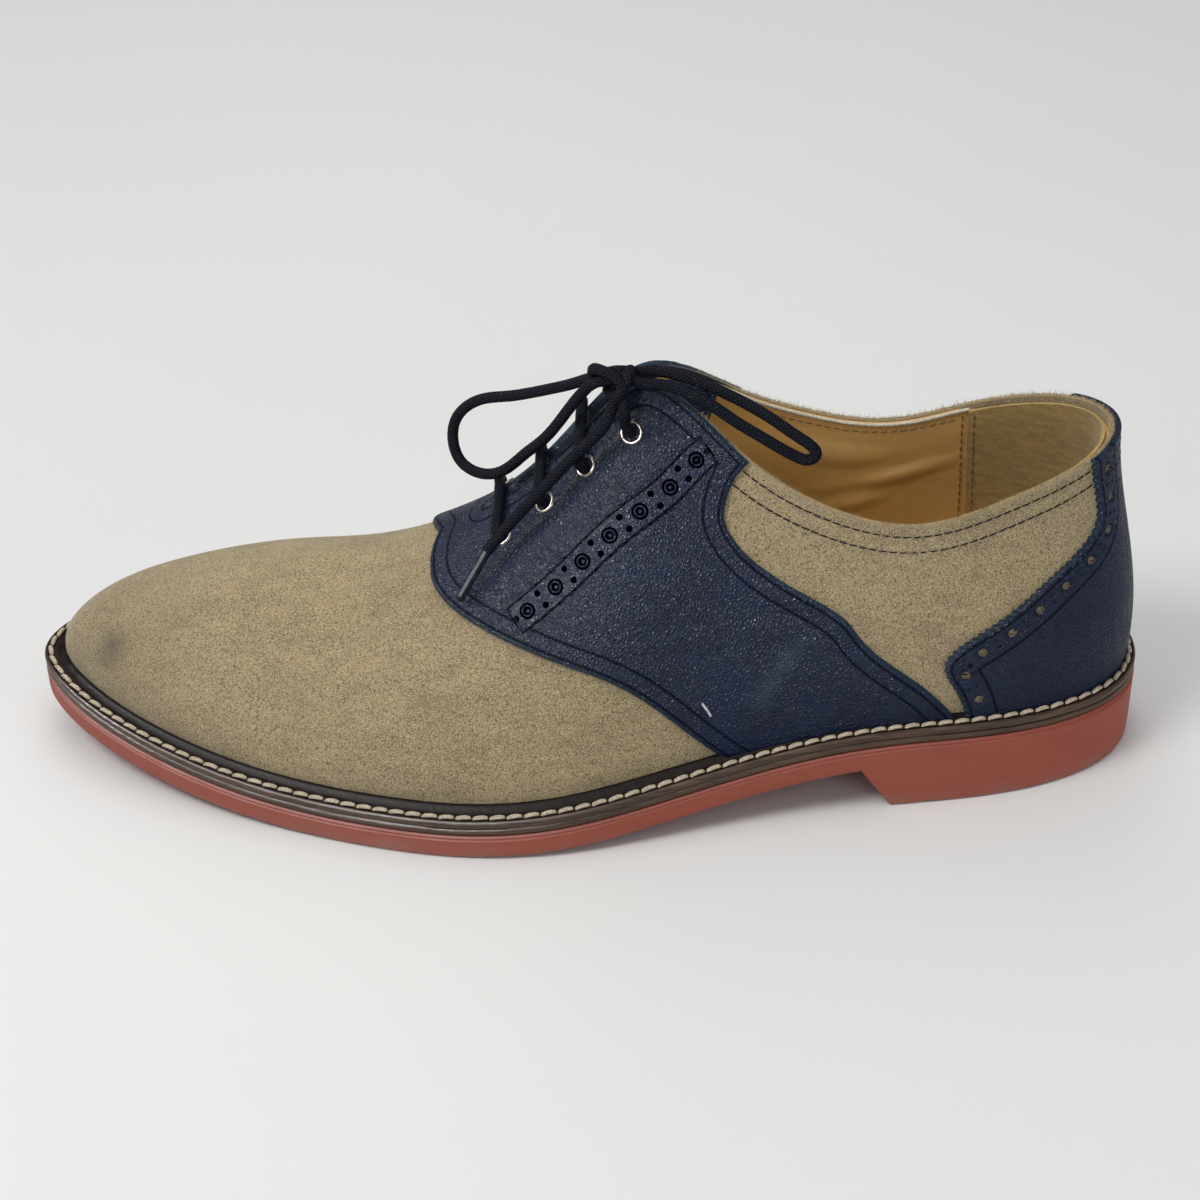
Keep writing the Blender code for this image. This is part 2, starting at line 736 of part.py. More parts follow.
def eyelet_matrix(foot, rise, side):
    centre, out = eyelet_frame(foot, rise, side)
    return Matrix.Translation(centre) @ out.to_track_quat("Z", "Y").to_matrix().to_4x4()


def make_hole_cutter(collection):
    """One cylinder for each eyelet, through the saddle and the wall."""
    shape = bmesh.new()
    radius = EYELET_HOLE_RADIUS + EYELET_BARREL_WALL + HOLE_CLEARANCE
    for _, foot, rise in EYELETS:
        for side in (OUTER, INNER):
            bmesh.ops.create_cone(
                shape,
                cap_ends=True,
                segments=ROUND_STEPS,
                radius1=radius,
                radius2=radius,
                depth=CUTTER_DEPTH,
                matrix=eyelet_matrix(foot, rise, side),
            )
    cutter = add_object("eyelet_holes", finish_mesh("eyelet_holes", shape, False), "eyelet", collection)
    cutter.hide_render = True
    cutter.display_type = "WIRE"
    return cutter


def make_eyelets(collection):
    """Eyelet rings: a flange on the saddle and a barrel through it and the upper."""
    seat = OVERLAY_LIFT + OVERLAY_THICKNESS + EYELET_SEAT
    barrel = EYELET_HOLE_RADIUS + EYELET_BARREL_WALL
    outline_points = (
        (EYELET_HOLE_RADIUS, seat + EYELET_FLANGE),
        (EYELET_FLANGE_RADIUS, seat + EYELET_FLANGE),
        (EYELET_FLANGE_RADIUS, seat),
        (barrel, seat),
        (barrel, -WALL),
        (EYELET_HOLE_RADIUS, -WALL),
    )
    for name, foot, rise in EYELETS:
        for side, side_name in ((OUTER, "outer"), (INNER, "inner")):
            mesh = bpy.data.meshes.new("eyelet")
            count = len(outline_points)
            points = [(radius, 0.0, height) for radius, height in outline_points]
            mesh.from_pydata(points, [(i, (i + 1) % count) for i in range(count)], [])
            made = add_object(f"eyelet_{name}_{side_name}", mesh, "eyelet", collection)
            made.matrix_world = eyelet_matrix(foot, rise, side)
            turned = made.modifiers.new("Turn", "SCREW")
            turned.steps = ROUND_STEPS
            turned.render_steps = ROUND_STEPS
            turned.use_merge_vertices = True
            turned.merge_threshold = MERGE


def make_tube(name, points, diameter, material, collection, count=None):
    """A cord: a poly curve with a round bevel through a smooth run of the given points."""
    points = np.asarray(points, float)
    steps = np.linalg.norm(np.diff(points, axis=0), axis=1)
    runs = np.concatenate([[0.0], np.cumsum(steps)])
    count = count or max(LEAST_CORD_POINTS, int(round(runs[-1] / (CORD_SPACING * diameter))))
    smooth = spline_through(runs, points)(np.linspace(0, runs[-1], count))
    curve = bpy.data.curves.new(name, "CURVE")
    curve.dimensions = "3D"
    curve.bevel_depth = diameter / 2
    curve.bevel_resolution = CORD_BEVEL
    curve.use_fill_caps = True
    spline = curve.splines.new("POLY")
    spline.points.add(count - 1)
    for slot, point in zip(spline.points, smooth):
        slot.co = (*(Vector(point) - CENTRE), 1.0)
    spline.use_smooth = True
    return add_object(name, curve, material, collection)


def bar_points(foot, rise):
    """Points of a lace bar, from one eyelet's bore over the facings to the other's."""
    over = OVERLAY_LIFT + OVERLAY_THICKNESS + LACE_DIAMETER / 2
    climbs = [(rise, -LACE_DIP), (rise, over + EYELET_SEAT + EYELET_FLANGE)]
    climbs += [(rise + climb, over + clearance) for climb, clearance in BAR_CLIMB]
    climbs.append((1.0, over + BAR_THROAT_CLEARANCE))
    turn = float(turn_at(foot))
    halves = []
    for side_turn in (turn, other_side(turn)):
        base_normal = upper_normal(side_turn, rise)
        half = []
        for level, lift in climbs:
            normal = base_normal if level == rise else upper_normal(side_turn, level)
            half.append(upper_point(side_turn, level) + normal * lift)
        halves.append(half)
    middle = (halves[0][-1] + halves[1][-1]) / 2 + np.array([0.0, 0.0, BAR_ARCH])
    return halves[0] + [middle] + halves[1][::-1]


def make_lace_bars(collection):
    """The lace's bars across the throat, each arched a little."""
    for name, foot, rise in EYELETS:
        points = bar_points(foot, rise)
        make_tube(f"lace_bar_{name}", points, LACE_DIAMETER, "lace", collection, count=LACE_BAR_POINTS)


def make_knot(collection):
    """The knot: a rounded lump with three wraps standing out of it."""
    shape = bmesh.new()
    bmesh.ops.create_uvsphere(shape, u_segments=KNOT_SEGMENTS, v_segments=KNOT_RINGS, radius=0.5)
    for vert in shape.verts:
        phase = WRAPS * math.atan2(vert.co.z, vert.co.x) + WRAP_TWIST * vert.co.y
        wrap = 1 + WRAP_DEPTH * math.cos(phase)
        vert.co = Vector((v * size * wrap for v, size in zip(vert.co, KNOT_SIZE)))
    bmesh.ops.translate(shape, verts=shape.verts, vec=Vector(KNOT_CENTRE) - CENTRE)
    add_object("lace_knot", finish_mesh("lace_knot", shape), "lace", collection)


def make_bow(collection):
    """Two loops and a free end with its aglet."""
    make_tube("lace_loop_front", LEFT_LOOP, LACE_DIAMETER, "lace", collection)
    make_tube("lace_loop_back", RIGHT_LOOP, LACE_DIAMETER, "lace", collection)
    make_tube("lace_end", FREE_END, LACE_DIAMETER, "lace", collection)
    start, end = Vector(FREE_END[-1]), Vector(AGLET_END)
    heading = (end - start).normalized()
    near = start + heading * GAP
    points = [near, near + heading * AGLET_LENGTH / 2, near + heading * AGLET_LENGTH]
    make_tube("lace_aglet", points, AGLET_DIAMETER, "aglet", collection, count=len(points))


def main():
    clear_scene()
    parts = make_collection("saddle_shoe")
    cutters = make_collection("cutters")
    cutter = make_hole_cutter(cutters)
    make_outsole(parts)
    make_midsole(parts)
    make_welt(parts)
    make_insole(parts)
    make_upper(cutter, parts)
    make_saddle(cutter, parts)
    make_counter(parts)
    make_tongue(parts)
    make_eyelets(parts)
    make_lace_bars(parts)
    make_knot(parts)
    make_bow(parts)


main()
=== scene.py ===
"""Saddle shoe, left foot: suede body, leather saddle and counter, stitched welt, rubber sole and a bow.

Run as a script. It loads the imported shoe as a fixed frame, and builds each finished piece over it. The
form is worked out in shoe coordinates: along runs from the toe tip to the back of the heel, across is
negative on the outer side, and height is above the floor. A turn of 0 is the toe tip, 1 the back of the
heel by the outer side, and 2 the toe tip again by the inner side. A rise of 0 is where the upper meets the
sole, and 1 its top edge.
"""

import math

import bpy
import numpy as np
from mathutils import Matrix, Vector
from mathutils.kdtree import KDTree


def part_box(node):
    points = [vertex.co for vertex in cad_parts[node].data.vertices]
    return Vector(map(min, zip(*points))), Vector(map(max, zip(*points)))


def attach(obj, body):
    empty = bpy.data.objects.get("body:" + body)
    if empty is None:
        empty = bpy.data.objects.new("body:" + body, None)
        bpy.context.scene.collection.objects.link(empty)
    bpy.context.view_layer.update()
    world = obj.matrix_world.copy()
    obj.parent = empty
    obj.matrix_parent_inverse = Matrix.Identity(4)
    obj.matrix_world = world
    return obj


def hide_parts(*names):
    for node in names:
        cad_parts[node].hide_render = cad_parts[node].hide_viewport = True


bl_info = {
    "name": "Saddle Shoe",
    "version": (1, 0, 0),
    "blender": (4, 5, 0),
    "location": "View3D > Sidebar > Shoe",
    "description": "Builds a left saddle shoe with its stitching, welt, rubber sole and tied lace",
    "category": "Object",
}

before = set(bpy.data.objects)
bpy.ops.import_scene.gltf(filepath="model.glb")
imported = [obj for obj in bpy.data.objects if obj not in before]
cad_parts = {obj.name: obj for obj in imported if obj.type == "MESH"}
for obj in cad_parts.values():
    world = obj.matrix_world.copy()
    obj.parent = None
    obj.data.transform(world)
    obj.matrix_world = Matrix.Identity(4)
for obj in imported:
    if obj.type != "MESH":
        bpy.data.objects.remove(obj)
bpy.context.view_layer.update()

# Driving sizes, in metres
LENGTH = round(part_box("outsole")[1][0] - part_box("outsole")[0][0], 4)
BALL_WIDTH = 0.114
INSTEP_HEIGHT = 0.112
HEEL_HEIGHT = 0.0205
TOE_SPRING = 0.011

# Sole
SOLE_THICKNESS = 0.0075
HEEL_LENGTH = 0.0707
BREAST_SLANT = 0.0083
MIDSOLE_THICKNESS = 0.0020
WELT_THICKNESS = 0.0022
WELT_WIDTH = 0.0065
HEEL_WELT_WIDTH = 0.0048
GAP = 0.0003
HEEL_LIFT = HEEL_HEIGHT - SOLE_THICKNESS
FEATHER_HEIGHT = SOLE_THICKNESS + GAP + MIDSOLE_THICKNESS + GAP

# Upper
WALL = 0.0022
SUEDE_THICKNESS = 0.0012
LINING_DEPTH = 0.0013
LINING_THICKNESS = 0.0009
GRIP_THICKNESS = 0.0008
GRIP_FOOT = 0.855
OVERLAY_WALL = 0.0006
SADDLE_SEAMS = (0.0015, 0.0056)
COLLAR_SEAMS = (0.0030, 0.0074)
COUNTER_SEAMS = (0.0020, 0.0084)
GRAIN_DRIFT = 0.0012
OVERLAY_HEIGHT = 0.0017
RIM_DEPTH = 0.0002
TONGUE_DEPTH = 0.0058
TONGUE_THICKNESS = 0.0018

# Eyelets and lace
LACE_DIAMETER = 0.0030
AGLET_DIAMETER = 0.0024
AGLET_LENGTH = 0.0145
UNDER_RUN_DEPTH = 0.0040
CORD_STEP = 0.0006
CORD_END_STEPS = (90, 75, 55, 30)
CORD_END_BULGE = 0.6

# Sole outline: share of the length from the toe, outer and inner half widths as shares of the ball width
OUTLINE = (
    ("toe tip", 0.000, -0.085, 0.085),
    ("toe end", 0.012, 0.010, 0.190),
    ("toe corner", 0.045, 0.114, 0.290),
    ("toe box", 0.111, 0.246, 0.377),
    ("toes", 0.190, 0.355, 0.428),
    ("inner ball", 0.285, 0.447, 0.446),
    ("outer ball", 0.400, 0.512, 0.425),
    ("ball end", 0.490, 0.502, 0.380),
    ("front waist", 0.580, 0.445, 0.325),
    ("waist", 0.670, 0.388, 0.290),
    ("heel breast", 0.770, 0.347, 0.288),
    ("heel seat", 0.860, 0.315, 0.296),
    ("heel turn", 0.930, 0.255, 0.250),
    ("heel corner", 0.981, 0.150, 0.150),
    ("heel back", 1.000, 0.000, 0.000),
)

# Underside of the sole: share of the length, share of the toe spring, share of the heel's lift
PROFILE = (
    ("toe tip", 0.00, 1.00, 0.00),
    ("toe", 0.10, 0.50, 0.00),
    ("tread front", 0.20, 0.13, 0.00),
    ("ball front", 0.29, 0.00, 0.00),
    ("ball back", 0.38, 0.00, 0.00),
    ("tread back", 0.46, 0.00, 0.08),
    ("waist", 0.60, 0.00, 0.52),
    ("heel breast", 0.74, 0.00, 0.97),
    ("heel seat", 0.85, 0.00, 1.02),
    ("heel back", 1.00, 0.00, 1.00),
)

# Upper: share of the length at the welt, then at the top edge its share of the length, height as a share of
# the instep height, half opening and centre as shares of the ball width, and four shares that shape the wall
TOPLINE = (
    ("toe", 0.000, 0.125, 0.405, 0.000, 0.060, 0.020, 0.62, 0.66, 0.00),
    ("cap", 0.090, 0.170, 0.440, 0.000, 0.055, 0.030, 0.60, 0.60, 0.00),
    ("vamp", 0.230, 0.255, 0.480, 0.000, 0.045, 0.030, 0.55, 0.55, 0.00),
    ("ball", 0.345, 0.345, 0.522, 0.000, 0.040, 0.020, 0.52, 0.50, 0.00),
    ("throat", 0.415, 0.420, 0.628, 0.000, 0.030, 0.015, 0.48, 0.44, 0.00),
    ("facing", 0.490, 0.497, 0.835, 0.030, 0.025, 0.012, 0.45, 0.32, 0.12),
    ("facing top", 0.560, 0.563, 1.000, 0.045, 0.020, 0.010, 0.42, 0.22, 0.16),
    ("collar front", 0.630, 0.639, 0.872, 0.155, 0.012, 0.012, 0.40, 0.12, 0.22),
    ("quarter", 0.680, 0.690, 0.792, 0.205, 0.008, 0.015, 0.40, 0.08, 0.25),
    ("ankle", 0.760, 0.768, 0.737, 0.236, 0.000, 0.028, 0.40, 0.04, 0.30),
    ("heel side", 0.865, 0.855, 0.790, 0.225, 0.000, 0.035, 0.38, 0.03, 0.30),
    ("heel turn", 0.945, 0.922, 0.842, 0.158, 0.000, 0.035, 0.38, 0.03, 0.32),
    ("back", 1.000, 0.957, 0.866, 0.000, 0.000, 0.035, 0.38, 0.03, 0.32),
)
THROAT_FOOT = 0.415
FACING_TOP_FOOT = 0.563
RIDGE_BLEND = 0.03
LEAST_REACH = 0.02

# Overlay edges: rise, then the share of the length at the welt
SADDLE_FRONT = (
    ("welt", 0.00, 0.632),
    ("low", 0.15, 0.582),
    ("side", 0.27, 0.530),
    ("middle", 0.43, 0.461),
    ("high", 0.63, 0.394),
    ("shoulder", 0.81, 0.368),
    ("ridge", 1.00, 0.374),
)
SADDLE_BACK = (
    ("welt", 0.00, 0.830),
    ("low", 0.22, 0.789),
    ("side", 0.45, 0.733),
    ("middle", 0.58, 0.690),
    ("elbow", 0.65, 0.634),
    ("neck", 0.74, 0.617),
    ("top", 1.00, 0.634),
)
COUNTER_FRONT = (
    ("welt", 0.00, 0.836),
    ("foot", 0.17, 0.822),
    ("corner", 0.37, 0.821),
    ("side", 0.48, 0.868),
    ("middle", 0.60, 0.914),
    ("neck", 0.70, 0.955),
    ("waist", 0.80, 0.962),
    ("top", 1.00, 0.954),
)

# Middle of the punched strip on the saddle: share of the length at the welt, and rise
BROGUE_LINE = (
    ("bottom", 0.441, 0.540),
    ("low", 0.484, 0.574),
    ("middle", 0.528, 0.601),
    ("high", 0.557, 0.634),
    ("upper", 0.577, 0.700),
    ("neck", 0.590, 0.780),
    ("top", 0.606, 0.905),
)

# Eyelets: share of the length at the welt, and rise
EYELETS = (
    ("bottom", 0.431, 0.815),
    ("second", 0.468, 0.835),
    ("third", 0.505, 0.835),
    ("top", 0.545, 0.830),
)

# Lace bow: along, across and height
FRONT_LOOP = (
    (0.1582, -0.0026, 0.1144),
    (0.1562, -0.0004, 0.1126),
    (0.1524, 0.0020, 0.1099),
    (0.1471, 0.0050, 0.1068),
    (0.1404, 0.0090, 0.1031),
    (0.1347, 0.0120, 0.1005),
    (0.1275, 0.0150, 0.0980),
    (0.1227, 0.0170, 0.0944),
    (0.1194, 0.0180, 0.0892),
    (0.1187, 0.0170, 0.0838),
    (0.1201, 0.0150, 0.0796),
    (0.1243, 0.0110, 0.0779),
    (0.1293, 0.0075, 0.0791),
    (0.1342, 0.0040, 0.0834),
    (0.1390, 0.0005, 0.0898),
    (0.1437, -0.0020, 0.0953),
    (0.1487, -0.0040, 0.1027),
    (0.1533, -0.0056, 0.1101),
    (0.1562, -0.0076, 0.1146),
)
BACK_LOOP = (
    (0.1684, -0.0048, 0.1166),
    (0.1722, -0.0042, 0.1168),
    (0.1769, -0.0050, 0.1163),
    (0.1845, -0.0070, 0.1147),
    (0.1908, -0.0090, 0.1125),
    (0.1971, -0.0110, 0.1098),
    (0.2034, -0.0130, 0.1064),
    (0.2097, -0.0150, 0.1024),
    (0.2130, -0.0158, 0.1000),
    (0.2139, -0.0162, 0.0981),
    (0.2123, -0.0165, 0.0968),
    (0.2094, -0.0164, 0.0974),
    (0.2059, -0.0160, 0.0993),
    (0.1995, -0.0150, 0.1032),
    (0.1931, -0.0140, 0.1072),
    (0.1868, -0.0125, 0.1114),
    (0.1805, -0.0110, 0.1142),
    (0.1752, -0.0095, 0.1155),
    (0.1720, -0.0098, 0.1160),
    (0.1690, -0.0097, 0.1163),
)
FREE_END = (
    (0.1624, -0.0117, 0.1121),
    (0.1612, -0.0120, 0.1080),
    (0.1596, -0.0124, 0.1050),
    (0.1561, -0.0130, 0.1014),
    (0.1496, -0.0140, 0.0949),
    (0.1429, -0.0155, 0.0878),
    (0.1370, -0.0170, 0.0818),
    (0.1330, -0.0180, 0.0773),
    (0.1289, -0.0195, 0.0727),
)
AGLET_END = (0.1218, -0.0250, 0.0624)
KNOT_CENTRE = (0.1628, -0.0074, 0.1168)

# Strands of the knot, each as steps from its centre, in millimetres
KNOT_STRANDS = (
    (
        "wrap",
        (
            (-5.5, 3.4, -1.2),
            (-5.2, 0.6, 2.3),
            (-3.4, -1.6, 3.0),
            (-0.6, -3.0, 2.2),
            (1.6, -4.4, 0.2),
            (1.8, -4.2, -2.6),
            (0.2, -2.0, -4.2),
            (-2.0, 1.2, -4.0),
        ),
    ),
    (
        "left",
        (
            (-5.2, 3.4, -2.9),
            (-3.0, 2.2, -0.6),
            (-0.6, 1.6, 0.8),
            (2.4, 1.4, 1.0),
            (5.6, 2.6, -0.2),
        ),
    ),
    (
        "right",
        (
            (-6.6, -0.2, -2.4),
            (-4.2, -1.0, -0.6),
            (-1.4, -1.0, -0.4),
            (2.2, -1.2, 0.6),
            (6.2, -2.3, -0.5),
        ),
    ),
    (
        "tail",
        (
            (4.0, 0.6, 1.8),
            (3.4, -2.4, 1.6),
            (2.0, -4.6, -0.6),
            (0.6, -5.0, -3.0),
            (-0.4, -4.3, -4.7),
        ),
    ),
)

# Soft troughs worn into the suede and the saddle on the outer side: share of the length at the welt and
# rise of the middle, then the way it runs (along and up), half length, half width and depth in millimetres
CREASES = (
    ("first flex", 0.330, 0.78, (0.45, 1.0), 16.0, 3.4, 0.55),
    ("second flex", 0.300, 0.66, (0.35, 1.0), 14.0, 3.0, 0.35),
    ("vamp hollow", 0.262, 0.88, (1.0, 0.35), 18.0, 6.0, 0.60),
    ("toe side", 0.150, 0.55, (1.0, 0.6), 14.0, 7.0, 0.40),
    ("saddle long", 0.600, 0.40, (1.0, 0.10), 26.0, 2.2, 0.28),
    ("saddle low", 0.560, 0.31, (1.0, 0.02), 20.0, 1.9, 0.24),
    ("saddle high", 0.625, 0.48, (1.0, -0.10), 22.0, 2.4, 0.26),
    ("saddle back", 0.690, 0.36, (1.0, -0.35), 18.0, 2.2, 0.26),
    ("quarter", 0.760, 0.72, (1.0, -0.2), 16.0, 5.0, 0.50),
)

# Soft scuffs along a diagonal low on the saddle: share of the length at the welt, rise and radius
SCUFFS = (
    (0.653, 0.215, 0.0050),
    (0.661, 0.265, 0.0045),
    (0.668, 0.315, 0.0048),
    (0.677, 0.365, 0.0045),
    (0.687, 0.410, 0.0040),
)

# Folds of the lining on the inner side, in the same columns
LINING_FOLDS = (
    ("long fold", 0.770, 0.66, (1.0, 0.22), 17.0, 2.2, 1.10),
    ("short fold", 0.745, 0.52, (1.0, 0.35), 13.0, 2.6, 0.90),
    ("soft hollow", 0.720, 0.78, (1.0, -0.25), 14.0, 4.0, 0.80),
)

# Mesh density
HALF_COLUMNS = 150
RISE_ROWS = 64
SOLE_STATIONS = 110
RING_STEPS = 420
END_CROWDING = 0.45
NORMAL_STEP = 0.002
MERGE = 2e-5

# Photograph's camera: place in shoe coordinates, then yaw, pitch and roll in degrees
CAMERA_PLACE = (0.1635, -0.5381, 0.4233)
CAMERA_TURN = (-0.63, 35.3, -1.38)
CAMERA_LENS = 72.0
CAMERA_SENSOR = 36.0

# Lamps: name, place, size, power, colour, and whether it adds highlights only
LAMPS = (
    ("window_light", (-0.52, -0.38, 1.02), 0.45, 6.4, (1.0, 0.98, 0.95), False),
    ("left_glint", (-0.98, -0.18, 0.74), 0.34, 25.0, (0.97, 0.98, 1.0), True),
    ("front_glint", (-0.46, -0.90, 0.76), 0.34, 25.0, (0.97, 0.98, 1.0), True),
    ("top_light", (0.05, 0.10, 1.40), 1.2, 6.0, (1.0, 0.99, 0.97), False),
    ("back_light", (-0.15, 0.85, 0.95), 1.0, 3.0, (1.0, 0.99, 0.97), False),
    ("low_light", (0.75, -0.95, 0.35), 0.50, 2.4, (0.97, 0.98, 1.0), False),
    ("heel_light", (0.95, -0.20, 0.70), 0.8, 0.8, (1.0, 1.0, 1.0), False),
)

OUTER, INNER = -1, 1
SIDES = ((OUTER, "outer"), (INNER, "inner"))


def spline_through(knots, values, period=None):
    """A function that runs smoothly through the values: a natural cubic, or a closed one with a period."""
    knots = np.asarray(knots, float)
    values = np.asarray(values, float)
    count = len(knots)
    if period is not None:
        knots = np.append(knots, knots[0] + period)
        values = np.concatenate([values, values[:1]])
    steps = np.diff(knots)
    slopes = np.diff(values, axis=0) / steps.reshape(-1, *([1] * (values.ndim - 1)))
    system = np.eye(count)
    bends = np.zeros((count,) + values.shape[1:])
    inner = range(count) if period is not None else range(1, count - 1)
    for i in inner:
        before = (i - 1) % count
        after = (i + 1) % count
        system[i] = 0.0
        system[i, before] += steps[before]
        system[i, i] += 2 * (steps[before] + steps[i])
        system[i, after] += steps[i]
        bends[i] = 6 * (slopes[i] - slopes[before])
    bends = np.linalg.solve(system, bends)
    if period is not None:
        bends = np.concatenate([bends, bends[:1]])

    def at(place):
        place = np.asarray(place, float)
        if period is not None:
            place = (place - knots[0]) % period + knots[0]
        i = np.clip(np.searchsorted(knots, place, side="right") - 1, 0, len(knots) - 2)
        shape = place.shape + (1,) * (values.ndim - 1)
        step = steps[i].reshape(shape)
        share = ((place - knots[i]) / steps[i]).reshape(shape)
        rest = 1 - share
        bend = (rest**3 - rest) * bends[i] + (share**3 - share) * bends[i + 1]
        return rest * values[i] + share * values[i + 1] + step**2 / 6 * bend

    return at


def closed_outline():
    """The sole's edge as one closed curve over turn, from the rows of OUTLINE."""
    rows = [(a * LENGTH, -o * BALL_WIDTH, i * BALL_WIDTH) for _, a, o, i in OUTLINE]
    runs = [0.0]
    for (a0, o0, i0), (a1, o1, i1) in zip(rows, rows[1:]):
        step = math.hypot(a1 - a0, o1 - o0) + math.hypot(a1 - a0, i1 - i0)
        runs.append(runs[-1] + step / 2)
    knots = [run / runs[-1] for run in runs]
    points = [(a, o) for a, o, _ in rows] + [(a, i) for a, _, i in rows[-2:0:-1]]
    return spline_through(knots + [2 - k for k in knots[-2:0:-1]], points, 2.0)


OUTLINE_AT = closed_outline()
PROFILE_AT = spline_through(
    [row[1] for row in PROFILE],
    [row[2] * TOE_SPRING + row[3] * HEEL_LIFT for row in PROFILE],
)
FINE_TURNS = np.linspace(0, 1, 2001)
FINE_ALONG = OUTLINE_AT(FINE_TURNS)[:, 0] / LENGTH
FINE_EDGE = OUTLINE_AT(np.linspace(0, 2, 4001))[:, 1]
CENTRE = np.array([LENGTH / 2, (FINE_EDGE.max() + FINE_EDGE.min()) / 2, 0.0])


def turn_at(foot):
    """The turn on the outer side where the sole's edge is at this share of the length."""
    return np.interp(foot, FINE_ALONG, FINE_TURNS)


def top_edge():
    """The rows of TOPLINE as a run over turn that goes on evenly past the back of the heel."""
    knots = [float(turn_at(row[1])) for row in TOPLINE]
    rows = [list(row[2:]) for row in TOPLINE]
    mirrored = [row[:2] + [-row[2]] + row[3:] for row in rows[-2:-6:-1]]
    return spline_through(knots + [2 - knot for knot in knots[-2:-6:-1]], rows + mirrored)


TOP_AT = top_edge()
THROAT_TURN = float(turn_at(THROAT_FOOT))


def turn_on(foot, side):
    """The turn on one side of the shoe where the sole's edge is at this share of the length."""
    return turn_at(foot) if side == OUTER else 2 - turn_at(foot)


def unit(vectors):
    return vectors / np.maximum(np.linalg.norm(vectors, axis=-1, keepdims=True), 1e-12)


def underside(along):
    """Height of the sole's underside, not counting the heel block."""
    return np.maximum(PROFILE_AT(np.asarray(along, float) / LENGTH), 0.0)


def outline(turn, inset):
    """Points of the sole's edge moved inwards by inset, and the outward directions there."""
    turn = np.asarray(turn, float)
    small = 1e-4
    tangent = OUTLINE_AT(turn + small) - OUTLINE_AT(turn - small)
    out = unit(np.stack([tangent[..., 1], -tangent[..., 0]], -1))
    return OUTLINE_AT(turn) - out * np.asarray(inset, float)[..., None], out


def smooth_share(value, start, end):
    share = np.clip((value - start) / (end - start), 0, 1)
    return share * share * (3 - 2 * share)


def welt_width(turn):
    """Width of the welt's shelf: wide round the forefoot, narrower at the heel."""
    share = smooth_share(OUTLINE_AT(turn)[..., 0] / LENGTH, 0.50, 0.85)
    return WELT_WIDTH + (HEEL_WELT_WIDTH - WELT_WIDTH) * share


def upper_point(turn, rise):
    """Points of the upper's outer face: a cubic from the sole up to the top edge."""
    turn, rise = np.broadcast_arrays(np.asarray(turn, float), np.asarray(rise, float))
    half = np.where(turn <= 1, turn, 2 - turn)
    side = np.where(turn <= 1, OUTER, INNER)
    edge, out = outline(turn, welt_width(turn))
    row = TOP_AT(half)
    opening = np.where(half <= THROAT_TURN + 1e-9, 0.0, np.maximum(row[..., 2], 0.0) * BALL_WIDTH)
    foot = np.stack([edge[..., 0], edge[..., 1], underside(edge[..., 0]) + FEATHER_HEIGHT], -1)
    top = np.stack(
        [row[..., 0] * LENGTH, row[..., 3] * BALL_WIDTH + side * opening, row[..., 1] * INSTEP_HEIGHT], -1
    )
    height = top[..., 2] - foot[..., 2]
    low = foot.copy()
    low[..., :2] += out * (row[..., 4] * BALL_WIDTH)[..., None]
    low[..., 2] += row[..., 5] * height
    run = foot - top
    run[..., 2] = 0.0
    reach = np.linalg.norm(run, axis=-1)
    step = 1e-3
    before, after = TOP_AT(np.clip(half - step, 0, 1)), TOP_AT(np.clip(half + step, 0, 1))
    climb = (after[..., 1] - before[..., 1]) * INSTEP_HEIGHT
    slope = climb / np.maximum((after[..., 0] - before[..., 0]) * LENGTH, 1e-6)
    on_ridge = np.clip(1 - opening / (RIDGE_BLEND * BALL_WIDTH), 0, 1)
    heading = run / np.maximum(reach, 1e-9)[..., None]
    high = top + heading * (row[..., 6] * np.maximum(reach, LEAST_REACH))[..., None]
    high[..., 2] += heading[..., 0] * row[..., 6] * reach * slope * on_ridge - row[..., 7] * height
    s = rise[..., None]
    return (1 - s) ** 3 * foot + 3 * (1 - s) ** 2 * s * low + 3 * (1 - s) * s**2 * high + s**3 * top


def upper_normal(turn, rise):
    """Outward directions of the upper's outer face, the same for both sides along the closed ridge."""
    turn, rise = np.broadcast_arrays(np.asarray(turn, float), np.asarray(rise, float))

    def one_side(turn):
        ahead = upper_point(turn + NORMAL_STEP, rise) - upper_point(turn - NORMAL_STEP, rise)
        top = np.minimum(rise + NORMAL_STEP, 1.0)
        return unit(np.cross(ahead, upper_point(turn, top) - upper_point(turn, top - 2 * NORMAL_STEP)))

    normal = one_side(turn)
    half = np.where(turn <= 1, turn, 2 - turn)
    on_ridge = (rise > 1 - 1e-6) & (half <= THROAT_TURN + 1e-9)
    return unit(np.where(on_ridge[..., None], normal + one_side(2 - turn), normal))


def over_upper(turn, rise, lift):
    """Points at a height over the upper's outer face, or under it where lift is negative."""
    return upper_point(turn, rise) + upper_normal(turn, rise) * np.asarray(lift, float)[..., None]


def walk(turn, rise, step):
    """The turn and rise that a small step in space leads to."""
    small = 1e-4
    by_turn = (upper_point(turn + small, rise) - upper_point(turn - small, rise)) / (2 * small)
    by_rise = (upper_point(turn, rise + small) - upper_point(turn, rise - small)) / (2 * small)
    a = (by_turn * by_turn).sum(-1)
    b = (by_turn * by_rise).sum(-1)
    c = (by_rise * by_rise).sum(-1)
    p = (by_turn * step).sum(-1)
    q = (by_rise * step).sum(-1)
    spread = np.maximum(a * c - b * b, 1e-12)
    return turn + (p * c - q * b) / spread, rise + (a * q - b * p) / spread


